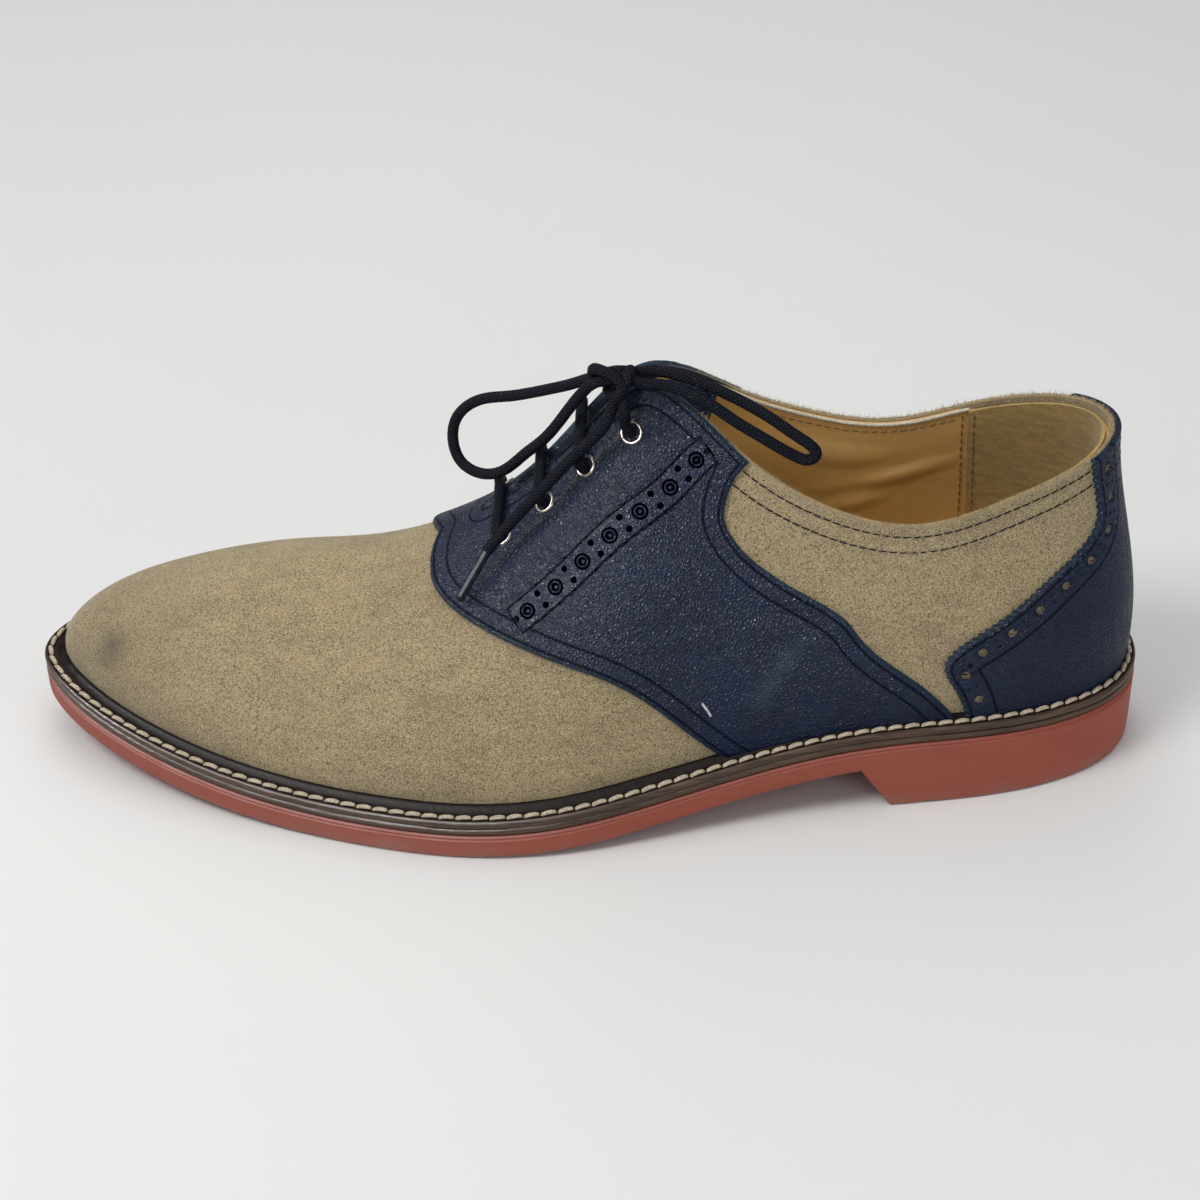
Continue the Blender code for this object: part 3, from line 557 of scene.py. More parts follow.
def beside(turns, rises, distance, steps=6):
    """The line on the upper at a distance to the left of a line, as seen from outside."""
    turns, rises = np.array(turns, float), np.array(rises, float)
    for _ in range(steps):
        ahead = np.gradient(upper_point(turns, rises), axis=0)
        left = unit(np.cross(upper_normal(turns, rises), ahead))
        turns, rises = walk(turns, rises, left * distance / steps)
    return turns, np.minimum(rises, 1.0)


def table_line(table, side, rises):
    """An overlay's edge on one side of the shoe, as turns and rises."""
    foot = spline_through([row[1] for row in table], [row[2] for row in table])(rises)
    return turn_on(foot, side)


def runs_of(points):
    """Distance from the first point to each point of a line."""
    steps = np.linalg.norm(np.diff(points, axis=0), axis=-1)
    return np.concatenate([[0.0], np.cumsum(steps)])


def points_at(places, runs, points):
    """Points of a line at the given distances from its first point."""
    return np.stack([np.interp(places, runs, points[:, axis]) for axis in range(3)], -1)


def even_line(turns, rises, spacing):
    """A line on the upper again, with its points evenly spaced."""
    runs = runs_of(upper_point(turns, rises))
    count = max(3, int(round(runs[-1] / spacing)) + 1)
    places = np.linspace(0, runs[-1], count)
    return np.interp(places, runs, turns), np.interp(places, runs, rises)


def brogue_line(side, spacing):
    """Middle line of the punched strip on one side of the saddle."""
    foot = np.linspace(BROGUE_LINE[0][1], BROGUE_LINE[-1][1], 200)
    rises = spline_through([row[1] for row in BROGUE_LINE], [row[2] for row in BROGUE_LINE])(foot)
    turns = turn_on(foot, side)
    return even_line(turns, rises, spacing)


def crowded(count):
    """Shares from 0 to 1, closer together near both ends, where the outline turns most."""
    even = np.linspace(0, 1, count)
    return even - END_CROWDING * np.sin(2 * np.pi * even) / (2 * np.pi)


def upper_turns(count):
    """Turns of the upper's columns all the way round, with one exactly at the throat on each side."""
    half = crowded(count)
    half[np.argmin(np.abs(half - THROAT_TURN))] = THROAT_TURN
    return np.concatenate([half, 2 - half[-2::-1]])


def trough_depth(points, table, side):
    """How deep the troughs of a table are at each point, in metres."""
    depth = np.zeros(points.shape[:-1])
    for _, foot, rise, way, half_length, half_width, deep in table:
        turn = turn_on(foot, side)
        middle = upper_point(turn, rise)
        out = upper_normal(turn, rise)
        ahead = unit(np.array([way[0], 0.0, way[1]]))
        ahead = unit(ahead - out * (ahead @ out))
        across = np.cross(out, ahead)
        away = (points - middle) * 1000
        along = (away @ ahead) / half_length
        aside = (away @ across + 0.06 * half_length * along**2) / half_width
        off = (away @ out) / 12.0
        trough = np.exp(-(aside**2)) - 0.45 * np.exp(-((np.abs(aside) - 1.9) ** 2) / 0.8)
        depth += deep / 1000 * trough * np.exp(-(along**2) - off**2)
    return depth


def nearest_mm(points, line):
    """Distance from each point to a line of closely spaced points, in millimetres."""
    tree = KDTree(len(line))
    for i, point in enumerate(line):
        tree.insert(point, i)
    tree.balance()
    flat = points.reshape(-1, 3)
    return np.array([tree.find(point)[2] for point in flat]).reshape(points.shape[:-1]) * 1000


# Building pieces


def deselect():
    if bpy.context.object and bpy.context.object.mode != "OBJECT":
        bpy.ops.object.mode_set(mode="OBJECT")
    bpy.ops.object.select_all(action="DESELECT")


def select(*pieces):
    """Makes these pieces the selection, with the first one active."""
    deselect()
    for piece in pieces:
        piece.select_set(True)
    bpy.context.view_layer.objects.active = pieces[0]


def join(name, pieces):
    select(*pieces)
    bpy.ops.object.join()
    pieces[0].name = name
    return pieces[0]


def new_mesh(name, points, faces):
    """A piece from a list of faces, with its points in shoe coordinates."""
    mesh = bpy.data.meshes.new(name)
    mesh.from_pydata((points.reshape(-1, 3) - CENTRE).tolist(), [], faces)
    made = bpy.data.objects.new(name, mesh)
    bpy.context.scene.collection.objects.link(made)
    return made


def set_points(made, points):
    made.data.vertices.foreach_set("co", (points - CENTRE).astype(np.float32).ravel())
    made.data.update()


def set_uv(made, across, up):
    """Puts two values per point into the piece's UV map."""
    mesh = made.data
    corners = np.empty(len(mesh.loops), np.int32)
    mesh.loops.foreach_get("vertex_index", corners)
    values = np.stack([np.ravel(across), np.ravel(up)], -1)[corners]
    mesh.uv_layers[0].data.foreach_set("uv", values.astype(np.float32).ravel())


def set_attribute(made, name, values):
    layer = made.data.attributes.new(name, "FLOAT", "POINT")
    layer.data.foreach_set("value", np.ravel(values).astype(np.float32))


def grid_piece(name, points, attributes=None, uv=None):
    """A piece that starts as a grid, with its points placed by the shoe's form: rows, columns, xyz."""
    deselect()
    rows, columns = points.shape[:2]
    bpy.ops.mesh.primitive_grid_add(x_subdivisions=columns - 1, y_subdivisions=rows - 1, size=1.0)
    made = bpy.context.object
    made.name = name
    made.data.name = name
    set_points(made, points)
    if uv is not None:
        set_uv(made, *uv)
    for key, values in (attributes or {}).items():
        set_attribute(made, key, values)
    return made


def merge_points(made, outward=True):
    """Joins points that lie on each other, and turns the faces of a closed piece outward."""
    select(made)
    bpy.ops.object.mode_set(mode="EDIT")
    bpy.ops.mesh.select_all(action="SELECT")
    bpy.ops.mesh.remove_doubles(threshold=MERGE)
    if outward:
        bpy.ops.mesh.normals_make_consistent(inside=False)
    bpy.ops.object.mode_set(mode="OBJECT")


def apply_modifier(made, kind, **settings):
    select(made)
    added = made.modifiers.new(kind.title(), kind)
    for key, value in settings.items():
        setattr(added, key, value)
    bpy.ops.object.modifier_apply(modifier=added.name)


def add_wall(made, thickness):
    """Gives a sheet a wall inwards, with the second material on the cut edge and the third inside."""
    apply_modifier(
        made,
        "SOLIDIFY",
        thickness=thickness,
        offset=-1.0,
        use_quality_normals=True,
        use_even_offset=False,
        material_offset=2,
        material_offset_rim=1,
    )


def finish_piece(made, materials, angle=None, replaces=()):
    """Shades a piece smooth, gives it its materials and lets it ride with the shoe."""
    for material in materials:
        made.data.materials.append(material)
    select(made)
    if angle is None:
        bpy.ops.object.shade_smooth()
    else:
        bpy.ops.object.shade_smooth_by_angle(angle=math.radians(angle))
    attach(made, "root")
    if replaces:
        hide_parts(*replaces)
    return made


def ring_frames(path):
    """Directions along, beside and above a path, turning as little as they can."""
    ahead = unit(np.gradient(path, axis=0))
    start = np.array([0.0, 0.0, 1.0])
    if abs(ahead[0] @ start) > 0.9:
        start = np.array([0.0, 1.0, 0.0])
    aside = np.empty_like(path)
    aside[0] = unit(np.cross(ahead[0], start))
    for i in range(1, len(path)):
        aside[i] = unit(aside[i - 1] - ahead[i] * (aside[i - 1] @ ahead[i]))
    return ahead, aside, np.cross(ahead, aside)


def smooth_path(points, spacing):
    """A smooth run through the given points, at an even spacing."""
    points = np.asarray(points, float)
    curve = spline_through(runs_of(points), points)
    fine = curve(np.linspace(0, runs_of(points)[-1], 40 * len(points)))
    runs = runs_of(fine)
    places = np.linspace(0, runs[-1], max(5, int(round(runs[-1] / spacing)) + 1))
    return points_at(places, runs, fine)


def cord_mesh(name, path, diameter, around=20):
    """A round cord along a path, closed and rounded at its ends. Its UV map is in diameters and turns."""
    ahead, aside, above = ring_frames(path)
    radius = diameter / 2
    steps = np.radians(CORD_END_STEPS)
    out = np.sin(steps)[:, None] * radius * CORD_END_BULGE
    narrow = np.cos(steps) * radius
    centres = np.concatenate([path[0] - ahead[0] * out, path, path[-1] + ahead[-1] * out[::-1]])
    radii = np.concatenate([narrow, np.full(len(path), radius), narrow[::-1]])
    pad = ((len(steps), len(steps)), (0, 0))
    aside, above = np.pad(aside, pad, mode="edge"), np.pad(above, pad, mode="edge")
    runs = runs_of(path)
    runs = np.concatenate([-out[:, 0], runs, runs[-1] + out[::-1, 0]])
    angles = np.linspace(0, 2 * np.pi, around + 1)[:, None, None]
    ring = np.cos(angles) * aside + np.sin(angles) * above
    uv = np.broadcast_arrays(runs[None, :] / diameter, np.linspace(0, 1, around + 1)[:, None])
    made = grid_piece(name, centres + ring * radii[:, None], uv=uv)
    merge_points(made)
    return made


def joined_copies(name, model, places):
    """Many copies of one small model, joined into one mesh. Each place is a 4x4 array."""
    mesh = model.data
    corner = np.empty(len(mesh.vertices) * 3)
    mesh.vertices.foreach_get("co", corner)
    corner = corner.reshape(-1, 3)
    faces = [tuple(face.vertices) for face in mesh.polygons]
    places = np.asarray(places)
    points = np.einsum("nij,mj->nmi", places[:, :3, :3], corner) + places[:, None, :3, 3]
    count = len(corner)
    all_faces = [tuple(i + n * count for i in face) for n in range(len(places)) for face in faces]
    made = new_mesh(name, points, all_faces)
    bpy.data.objects.remove(model, do_unlink=True)
    return made


def stitch_model(length, width, height):
    """One stitch: a small rounded length of thread whose two ends dip into the leather."""
    deselect()
    bpy.ops.mesh.primitive_uv_sphere_add(segments=6, ring_count=5, radius=0.5)
    made = bpy.context.object
    bpy.ops.object.mode_set(mode="EDIT")
    bpy.ops.mesh.select_all(action="SELECT")
    bpy.ops.transform.rotate(value=math.pi / 2, orient_axis="Y", center_override=(0, 0, 0))
    bpy.ops.transform.resize(value=(length, width, height))
    bpy.ops.object.mode_set(mode="OBJECT")
    for vertex in made.data.vertices:
        share = 2 * vertex.co.x / length
        fuller = math.sqrt(max(1 - share**6, 0.0) / max(1 - share**2, 0.2))
        vertex.co.y = vertex.co.y * fuller + 0.16 * width * share
        vertex.co.z = vertex.co.z * fuller + height * 0.25 - height * 0.55 * share**4
    return made


def stitch_places(points, normals, pitch):
    """Frames for stitches at an even pitch along a line of points with their outward directions."""
    runs = runs_of(points)
    count = max(1, int(runs[-1] / pitch))
    middles = (np.arange(count) + 0.5) * runs[-1] / count
    out = unit(points_at(middles, runs, normals))
    ahead = unit(points_at(middles + pitch / 3, runs, points) - points_at(middles - pitch / 3, runs, points))
    ahead = unit(ahead - out * (ahead * out).sum(-1, keepdims=True))
    frames = np.zeros((count, 4, 4))
    frames[:, :3, 0] = ahead
    frames[:, :3, 1] = np.cross(out, ahead)
    frames[:, :3, 2] = out
    frames[:, :3, 3] = points_at(middles, runs, points)
    frames[:, 3, 3] = 1.0
    return frames


def seam_on_upper(turns, rises, lift, pitch):
    """Stitch frames along a line on the upper, at a height over its outer face."""
    turns, rises = even_line(turns, rises, 0.001)
    return stitch_places(over_upper(turns, rises, lift), upper_normal(turns, rises), pitch)


# Materials


def shade(colour, share):
    """A colour made darker, or lighter with a share over 1."""
    return tuple(min(part * share, 1.0) for part in colour)


class Finish:
    """A material under construction, with short calls for its nodes."""

    def __init__(self, name, colour, roughness, **settings):
        self.material = bpy.data.materials.new(name)
        self.material.use_nodes = True
        self.nodes = self.material.node_tree.nodes
        self.links = self.material.node_tree.links
        self.shader = self.nodes["Principled BSDF"]
        self.material.diffuse_color = (*colour, 1.0)
        self.shader.inputs["Base Color"].default_value = (*colour, 1.0)
        self.shader.inputs["Roughness"].default_value = roughness
        for key, value in settings.items():
            self.shader.inputs[key.replace("_", " ").title().replace("Ior", "IOR")].default_value = value
        self.place = self.nodes.new("ShaderNodeTexCoord").outputs["Object"]

    def put(self, socket, value):
        if isinstance(value, bpy.types.NodeSocket):
            self.links.new(value, socket)
        else:
            socket.default_value = value

    def node(self, kind, sockets=None, **settings):
        made = self.nodes.new(kind)
        for key, value in settings.items():
            setattr(made, key, value)
        for key, value in (sockets or {}).items():
            self.put(made.inputs[key], value)
        return made

    def value(self, operation, first, second=0.0, clamp=False):
        made = self.node("ShaderNodeMath", {0: first, 1: second}, operation=operation, use_clamp=clamp)
        return made.outputs[0]

    def stretched(self, scale):
        """Object coordinates in other proportions."""
        return self.node("ShaderNodeMapping", {"Vector": self.place, "Scale": scale}).outputs["Vector"]

    def noise(self, scale, detail=2.0, roughness=0.5, place=None, distortion=0.0):
        sockets = {"Vector": place or self.place, "Scale": scale, "Detail": detail}
        sockets.update({"Roughness": roughness, "Distortion": distortion})
        return self.node("ShaderNodeTexNoise", sockets).outputs["Fac"]

    def cells(self, scale, feature="F1", place=None):
        sockets = {"Vector": place or self.place, "Scale": scale}
        return self.node("ShaderNodeTexVoronoi", sockets, feature=feature).outputs["Distance"]

    def span(self, value, low, high, to_low=0.0, to_high=1.0):
        """A value from one span moved to another, held at its ends."""
        sockets = {"Value": value, "From Min": low, "From Max": high, "To Min": to_low, "To Max": to_high}
        return self.node("ShaderNodeMapRange", sockets).outputs["Result"]

    def mix(self, share, first, second):
        """One colour turning into another."""
        first = (*first, 1.0) if isinstance(first, tuple) else first
        second = (*second, 1.0) if isinstance(second, tuple) else second
        made = self.node("ShaderNodeMix", data_type="RGBA")
        for socket, value in ((made.inputs[0], share), (made.inputs[6], first), (made.inputs[7], second)):
            self.put(socket, value)
        return made.outputs[2]

    def attribute(self, name):
        return self.node("ShaderNodeAttribute", attribute_name=name).outputs["Fac"]

    def near(self, value, at, width):
        """1 where a value is at a mark, falling to 0 a width away."""
        away = self.value("ABSOLUTE", self.value("SUBTRACT", value, at))
        return self.node(
            "ShaderNodeMapRange",
            {"Value": away, "From Min": 0.0, "From Max": width, "To Min": 1.0, "To Max": 0.0},
            interpolation_type="SMOOTHSTEP",
        ).outputs["Result"]

    def spot(self, place, radius, softness):
        """1 at a place on the piece, falling to 0 beyond a radius."""
        away = self.node("ShaderNodeVectorMath", {0: self.place, 1: tuple(place)}, operation="DISTANCE")
        return self.span(away.outputs["Value"], radius + softness, radius)

    def colour(self, value):
        self.put(self.shader.inputs["Base Color"], value)

    def rough(self, value):
        self.put(self.shader.inputs["Roughness"], value)

    def bump(self, *layers):
        """Bumps one on another: each layer is a height, its strength and its distance in metres."""
        normal = None
        for height, strength, distance in layers:
            sockets = {"Height": height, "Strength": strength, "Distance": distance}
            made = self.node("ShaderNodeBump", sockets)
            if normal is not None:
                self.links.new(normal, made.inputs["Normal"])
            normal = made.outputs["Normal"]
        self.links.new(normal, self.shader.inputs["Normal"])
        return self.material


def upper_spot(foot, rise, side=OUTER):
    """A place on the upper's outer face, in the row frame."""
    turn = turn_on(foot, side)
    return upper_point(turn, rise) - CENTRE


def suede_material(colours):
    light, dark = tuple(colours.suede), shade(colours.suede, 0.72)
    nap_light = {"sheen_weight": 0.35, "sheen_roughness": 0.45, "specular_ior_level": 0.2}
    finish = Finish("Tan suede", light, 0.95, **nap_light)
    finish.shader.inputs["Sheen Tint"].default_value = (0.95, 0.88, 0.74, 1.0)
    broad = finish.noise(38.0, 3.0, 0.55)
    brushed = finish.noise(170.0, 4.0, 0.6, place=finish.stretched((0.6, 1.0, 1.6)), distortion=0.6)
    nap = finish.noise(1500.0, 3.0, 0.65)
    speck = finish.noise(3800.0, 2.0, 0.6)
    colour = finish.mix(finish.span(broad, 0.40, 0.62, 0.0, 1.0), light, dark)
    colour = finish.mix(finish.span(brushed, 0.44, 0.66, 0.0, 0.60), colour, shade(light, 1.30))
    colour = finish.mix(finish.span(brushed, 0.46, 0.30, 0.0, 0.50), colour, shade(light, 0.62))
    colour = finish.mix(finish.span(nap, 0.36, 0.56, 0.95, 0.0), colour, shade(light, 0.34))
    colour = finish.mix(finish.span(speck, 0.50, 0.64, 0.0, 0.95), colour, shade(light, 1.95))
    edge = finish.value("MULTIPLY", finish.noise(220.0, 3.0), 0.3)
    smudge = finish.value("SUBTRACT", finish.spot(upper_spot(0.050, 0.40), 0.0005, 0.0085), edge, clamp=True)
    colour = finish.mix(finish.value("MULTIPLY", smudge, 0.75), colour, (0.045, 0.042, 0.042))
    halo = finish.spot(upper_spot(0.060, 0.36), 0.008, 0.024)
    colour = finish.mix(finish.value("MULTIPLY", halo, 0.28), colour, shade(light, 0.5))
    below = finish.attribute("below_top")
    raw = finish.span(below, 1.2, 0.2, 0.0, 0.35)
    colour = finish.mix(raw, colour, shade(light, 1.25))
    # Painted shade: the suede is darkened along the two sunk collar seam lines.
    seam_groove_shade = finish.value("MAXIMUM", finish.near(below, 3.0, 0.55), finish.near(below, 7.4, 0.55))
    colour = finish.mix(finish.value("MULTIPLY", seam_groove_shade, 0.35), colour, shade(light, 0.35))
    colour = finish.mix(finish.attribute("facing"), colour, (0.008, 0.014, 0.034))
    finish.colour(colour)
    seams = finish.value("MAXIMUM", finish.near(below, 3.0, 0.9), finish.near(below, 7.4, 0.9))
    return finish.bump(
        (seams, -0.8, 0.0005),
        (brushed, 0.25, 0.0008),
        (nap, 0.55, 0.0004),
        (speck, 0.35, 0.0002),
    )


def grained_layers(finish, coarse=1120.0):
    """Pebbled grain: rounded cells with creases between them, fine wrinkles and pores."""
    drift = finish.noise(260.0, 2.0)
    shift = finish.node("ShaderNodeVectorMath", {0: drift, 1: (GRAIN_DRIFT,) * 3}, operation="MULTIPLY")
    wander = finish.node("ShaderNodeVectorMath", {0: finish.place, 1: shift.outputs[0]}, operation="ADD")
    place = wander.outputs[0]
    pebble = finish.cells(coarse, "SMOOTH_F1", place)
    crease = finish.span(finish.cells(coarse, "DISTANCE_TO_EDGE", place), 0.0, 0.38)
    fine = finish.cells(coarse * 2.3, "F1", place)
    wrinkle = finish.noise(420.0, 4.0, 0.6, place=finish.stretched((0.35, 1.0, 1.5)), distortion=1.2)
    return pebble, crease, fine, wrinkle


def leather_material(name, colours, seams, punches=None, floor=None):
    """Navy grained leather. seams lists (attribute, distance in mm) of its stitched lines."""
    navy = tuple(colours.leather)
    finish = Finish(name, navy, 0.36, specular_ior_level=0.20)
    pebble, crease, fine, wrinkle = grained_layers(finish)
    broad = finish.noise(45.0, 3.0, 0.55)
    worn = finish.noise(140.0, 5.0, 0.65)
    colour = finish.mix(finish.span(broad, 0.38, 0.68), navy, shade(navy, 1.45))
    # Painted shade and highlight: the creases between the pebbles are darkened and the pebble tops
    # lightened.
    colour = finish.mix(finish.span(crease, 0.0, 0.9, 0.75, 0.0), colour, shade(navy, 0.25))
    colour = finish.mix(finish.span(pebble, 0.35, 0.10, 0.0, 0.40), colour, shade(navy, 1.9))
    colour = finish.mix(finish.span(worn, 0.60, 0.78, 0.0, 0.25), colour, (0.012, 0.030, 0.058))
    streaks = finish.noise(150.0, 4.0, 0.6, place=finish.stretched((1.0, 1.0, 0.35)))
    streaks = finish.span(streaks, 0.35, 0.65, 0.35, 1.0)
    for foot, rise, radius in SCUFFS:
        scuff = finish.value("MULTIPLY", finish.spot(upper_spot(foot, rise), 0.0, radius), streaks)
        colour = finish.mix(finish.value("MULTIPLY", scuff, 0.42), colour, (0.045, 0.095, 0.135))
    groove = None
    for attribute, at in seams:
        ring = finish.near(finish.attribute(attribute), at, 0.75)
        groove = ring if groove is None else finish.value("MAXIMUM", groove, ring)
    edge = finish.span(finish.attribute("from_edge"), 0.8, 0.1)
    colour = finish.mix(finish.value("MULTIPLY", edge, 0.5), colour, (0.016, 0.045, 0.070))
    # Painted shade: the sunk seam grooves are darkened, and below their shine is taken away.
    colour = finish.mix(finish.value("MULTIPLY", groove, 0.65), colour, shade(navy, 0.25))
    layers = [(groove, -0.9, 0.0006)]
    shine = finish.span(groove, 0.2, 0.9, 0.20, 0.03)
    if punches:
        inside = finish.span(finish.attribute(punches), 1.28, 1.12)
        colour = finish.mix(inside, colour, floor)
        shine = finish.value("MINIMUM", shine, finish.span(inside, 0.0, 1.0, 0.20, 0.05))
    finish.put(finish.shader.inputs["Specular IOR Level"], shine)
    finish.colour(colour)
    rough = finish.span(crease, 0.0, 0.8, 0.62, 0.24)
    finish.rough(finish.value("ADD", rough, finish.span(worn, 0.4, 0.7, -0.04, 0.10)))
    layers += [
        (wrinkle, 0.55, 0.0010),
        (pebble, -0.52, 0.0007),
        (crease, 0.70, 0.0003),
        (fine, -0.18, 0.0002),
    ]
    return finish.bump(*layers)


def strip_material(colours):
    """The punched strip's leather. Its holes, pinholes, pressed rings and sunk border are painted near black
    with no shine, as painted shade.
    """
    navy = tuple(colours.leather)
    finish = Finish("Punched strip", navy, 0.36, specular_ior_level=0.20)
    pebble, crease, fine, wrinkle = grained_layers(finish)
    # Painted shade: the creases between the pebbles are darkened.
    colour = finish.mix(finish.span(crease, 0.0, 0.8, 0.45, 0.0), navy, shade(navy, 0.35))
    hole = finish.near(finish.attribute("hole"), 0.82, 0.50)
    ring = finish.near(finish.attribute("hole"), 1.85, 0.48)
    pin = finish.span(finish.attribute("pinhole"), 0.92, 0.70)
    # Painted shade: holes, pinholes, pressed rings and border are darkened and lose their shine.
    dark = finish.value("MAXIMUM", finish.value("MAXIMUM", hole, pin), ring)
    border = finish.span(finish.attribute("strip_edge"), 0.80, 0.30)
    dark = finish.value("MINIMUM", finish.value("MULTIPLY", finish.value("MAXIMUM", dark, border), 1.5), 1.0)
    finish.colour(finish.mix(dark, colour, shade(navy, 0.05)))
    finish.put(finish.shader.inputs["Specular IOR Level"], finish.span(dark, 0.0, 0.7, 0.20, 0.0))
    rough = finish.span(crease, 0.0, 0.8, 0.62, 0.24)
    finish.rough(finish.value("MAXIMUM", rough, finish.value("MULTIPLY", dark, 0.9)))
    return finish.bump(
        (wrinkle, 0.30, 0.0008),
        (pebble, -0.5, 0.0006),
        (crease, 0.6, 0.0003),
        (fine, -0.18, 0.0002),
    )


def cut_edge_material(name, colour, covered=None):
    """The raw cut edge of leather, with its fibres, dyed where the covered attribute is 1."""
    finish = Finish(name, colour, 0.85, specular_ior_level=0.2)
    fibres = finish.noise(2400.0, 3.0, 0.7)
    tone = finish.mix(finish.span(fibres, 0.35, 0.65), colour, shade(colour, 1.8))
    if covered:
        tone = finish.mix(finish.attribute(covered), tone, (0.010, 0.018, 0.040))
    finish.colour(tone)
    return finish.bump((fibres, 0.6, 0.0003))


def smooth_leather_material(name, colour, dirt=0.25, gloss=0.45):
    """Smooth lining leather: soft mottling, fine pores and a slight shine."""
    finish = Finish(name, colour, gloss, specular_ior_level=0.45)
    broad = finish.noise(55.0, 4.0, 0.6)
    pores = finish.cells(1900.0)
    creased = finish.noise(240.0, 5.0, 0.6, place=finish.stretched((0.5, 1.0, 1.4)), distortion=0.8)
    tone = finish.mix(finish.span(broad, 0.35, 0.70, 0.0, dirt), colour, shade(colour, 0.45))
    tone = finish.mix(finish.span(creased, 0.50, 0.70, 0.0, 0.25), tone, shade(colour, 1.2))
    finish.colour(tone)
    finish.rough(finish.span(broad, 0.3, 0.7, gloss - 0.07, gloss + 0.12))
    return finish.bump((creased, 0.25, 0.0006), (pores, 0.25, 0.0002))


def brushed_suede_material(name, colour):
    """The heel grip's suede, brushed in short strokes."""
    finish = Finish(name, colour, 0.95, sheen_weight=0.3, sheen_roughness=0.5, specular_ior_level=0.2)
    strokes = finish.noise(260.0, 4.0, 0.65, place=finish.stretched((0.7, 0.7, 2.2)), distortion=0.8)
    nap = finish.noise(1900.0, 3.0, 0.6)
    tone = finish.mix(finish.span(strokes, 0.38, 0.66), colour, shade(colour, 0.62))
    finish.colour(finish.mix(finish.span(nap, 0.40, 0.62, 0.3, 0.0), tone, shade(colour, 0.5)))
    return finish.bump((strokes, 0.4, 0.0007), (nap, 0.45, 0.0003))


def welt_top_material(colours):
    """The welt's dark polished top, wet looking where it was pressed."""
    dark = tuple(colours.welt)
    finish = Finish("Welt top", dark, 0.50, specular_ior_level=0.12)
    streak = finish.noise(300.0, 5.0, 0.65)
    specks = finish.noise(1300.0, 3.0, 0.6)
    rub = finish.near(finish.attribute("across"), 2.0, 1.5)
    rub = finish.value("MULTIPLY", rub, finish.span(streak, 0.42, 0.66, 0.2, 0.9))
    finish.colour(finish.mix(rub, dark, (0.075, 0.032, 0.014)))
    finish.rough(finish.span(streak, 0.35, 0.68, 0.30, 0.55))
    return finish.bump((streak, 0.25, 0.0004), (specks, 0.35, 0.0002))


def welt_edge_material(name, colour, wear):
    """A burnished leather edge with fine lines running round it."""
    finish = Finish(name, colour, 0.42, specular_ior_level=0.35, coat_weight=0.10, coat_roughness=0.3)
    lines = finish.noise(260.0, 5.0, 0.6, place=finish.stretched((0.35, 0.35, 7.0)))
    blotch = finish.noise(60.0, 4.0, 0.6)
    tone = finish.mix(finish.span(lines, 0.40, 0.66), colour, wear)
    finish.colour(finish.mix(finish.span(blotch, 0.45, 0.72, 0.0, 0.6), tone, shade(colour, 0.4)))
    finish.rough(finish.span(lines, 0.35, 0.7, 0.30, 0.52))
    return finish.bump((lines, 0.5, 0.0004))


def rubber_material(colours):
    """Brick red moulded rubber, dusty near the floor and slightly scuffed."""
    brick = tuple(colours.rubber)
    finish = Finish("Brick rubber", brick, 0.62, specular_ior_level=0.35)
    cloud = finish.noise(50.0, 4.0, 0.6)
    grit = finish.noise(900.0, 4.0, 0.65)
    scuff = finish.noise(320.0, 5.0, 0.7, place=finish.stretched((0.3, 0.6, 3.2)))
    height = finish.node("ShaderNodeSeparateXYZ", {"Vector": finish.place}).outputs["Z"]
    colour = finish.mix(finish.span(cloud, 0.35, 0.7, 0.0, 0.30), brick, shade(brick, 0.70))
    colour = finish.mix(finish.span(scuff, 0.60, 0.78, 0.0, 0.35), colour, (0.40, 0.19, 0.14))
    dust = finish.value("MULTIPLY", finish.span(height, 0.006, 0.0), finish.span(cloud, 0.4, 0.7, 0.1, 0.6))
    finish.colour(finish.mix(dust, colour, (0.30, 0.20, 0.16)))
    finish.rough(finish.span(cloud, 0.3, 0.7, 0.52, 0.72))
    return finish.bump((cloud, 0.1, 0.001), (scuff, 0.12, 0.0003), (grit, 0.18, 0.0002))


def lace_material(colours):
    """Round waxed cord: two ways of fine strands over and under each other, darkened between the strands as
    painted shade, with a few glossy points lightened as painted glints.
    """
    navy = tuple(colours.lace)
    finish = Finish("Waxed cord", navy, 0.50, specular_ior_level=0.06)
    weave = finish.node("ShaderNodeUVMap", uv_map="UVMap").outputs["UV"]
    parts = finish.node("ShaderNodeSeparateXYZ", {"Vector": weave})
    along = finish.value("MULTIPLY", parts.outputs["X"], 6.2832 * 2.4)
    around = finish.value("MULTIPLY", parts.outputs["Y"], 6.2832 * 8.0)
    one = finish.value("SINE", finish.value("ADD", along, around))
    other = finish.value("SINE", finish.value("SUBTRACT", along, around))
    over = finish.value("MAXIMUM", one, other)
    fluff = finish.noise(2600.0, 3.0, 0.7)
    spark = finish.noise(1700.0, 2.0, 0.5)
    # Painted shade between the strands, and painted glints on a few strand tops.
    tone = finish.mix(finish.span(over, -0.2, 0.9), shade(navy, 0.35), navy)
    painted_glints = finish.value("MULTIPLY", finish.span(spark, 0.64, 0.72), finish.span(over, 0.5, 0.95))
    finish.colour(finish.mix(finish.value("MULTIPLY", painted_glints, 0.5), tone, (0.11, 0.12, 0.15)))
    finish.rough(finish.span(spark, 0.55, 0.68, 0.62, 0.30))
    return finish.bump((over, 0.75, 0.00022), (fluff, 0.3, 0.0002))


def thread_material(name, colour):
    """Twisted sewing thread."""
    finish = Finish(name, colour, 0.65, specular_ior_level=0.06)
    twist = finish.noise(2200.0, 3.0, 0.65)
    finish.colour(finish.mix(finish.span(twist, 0.4, 0.62), shade(colour, 0.55), colour))
    return finish.bump((twist, 0.5, 0.0002))


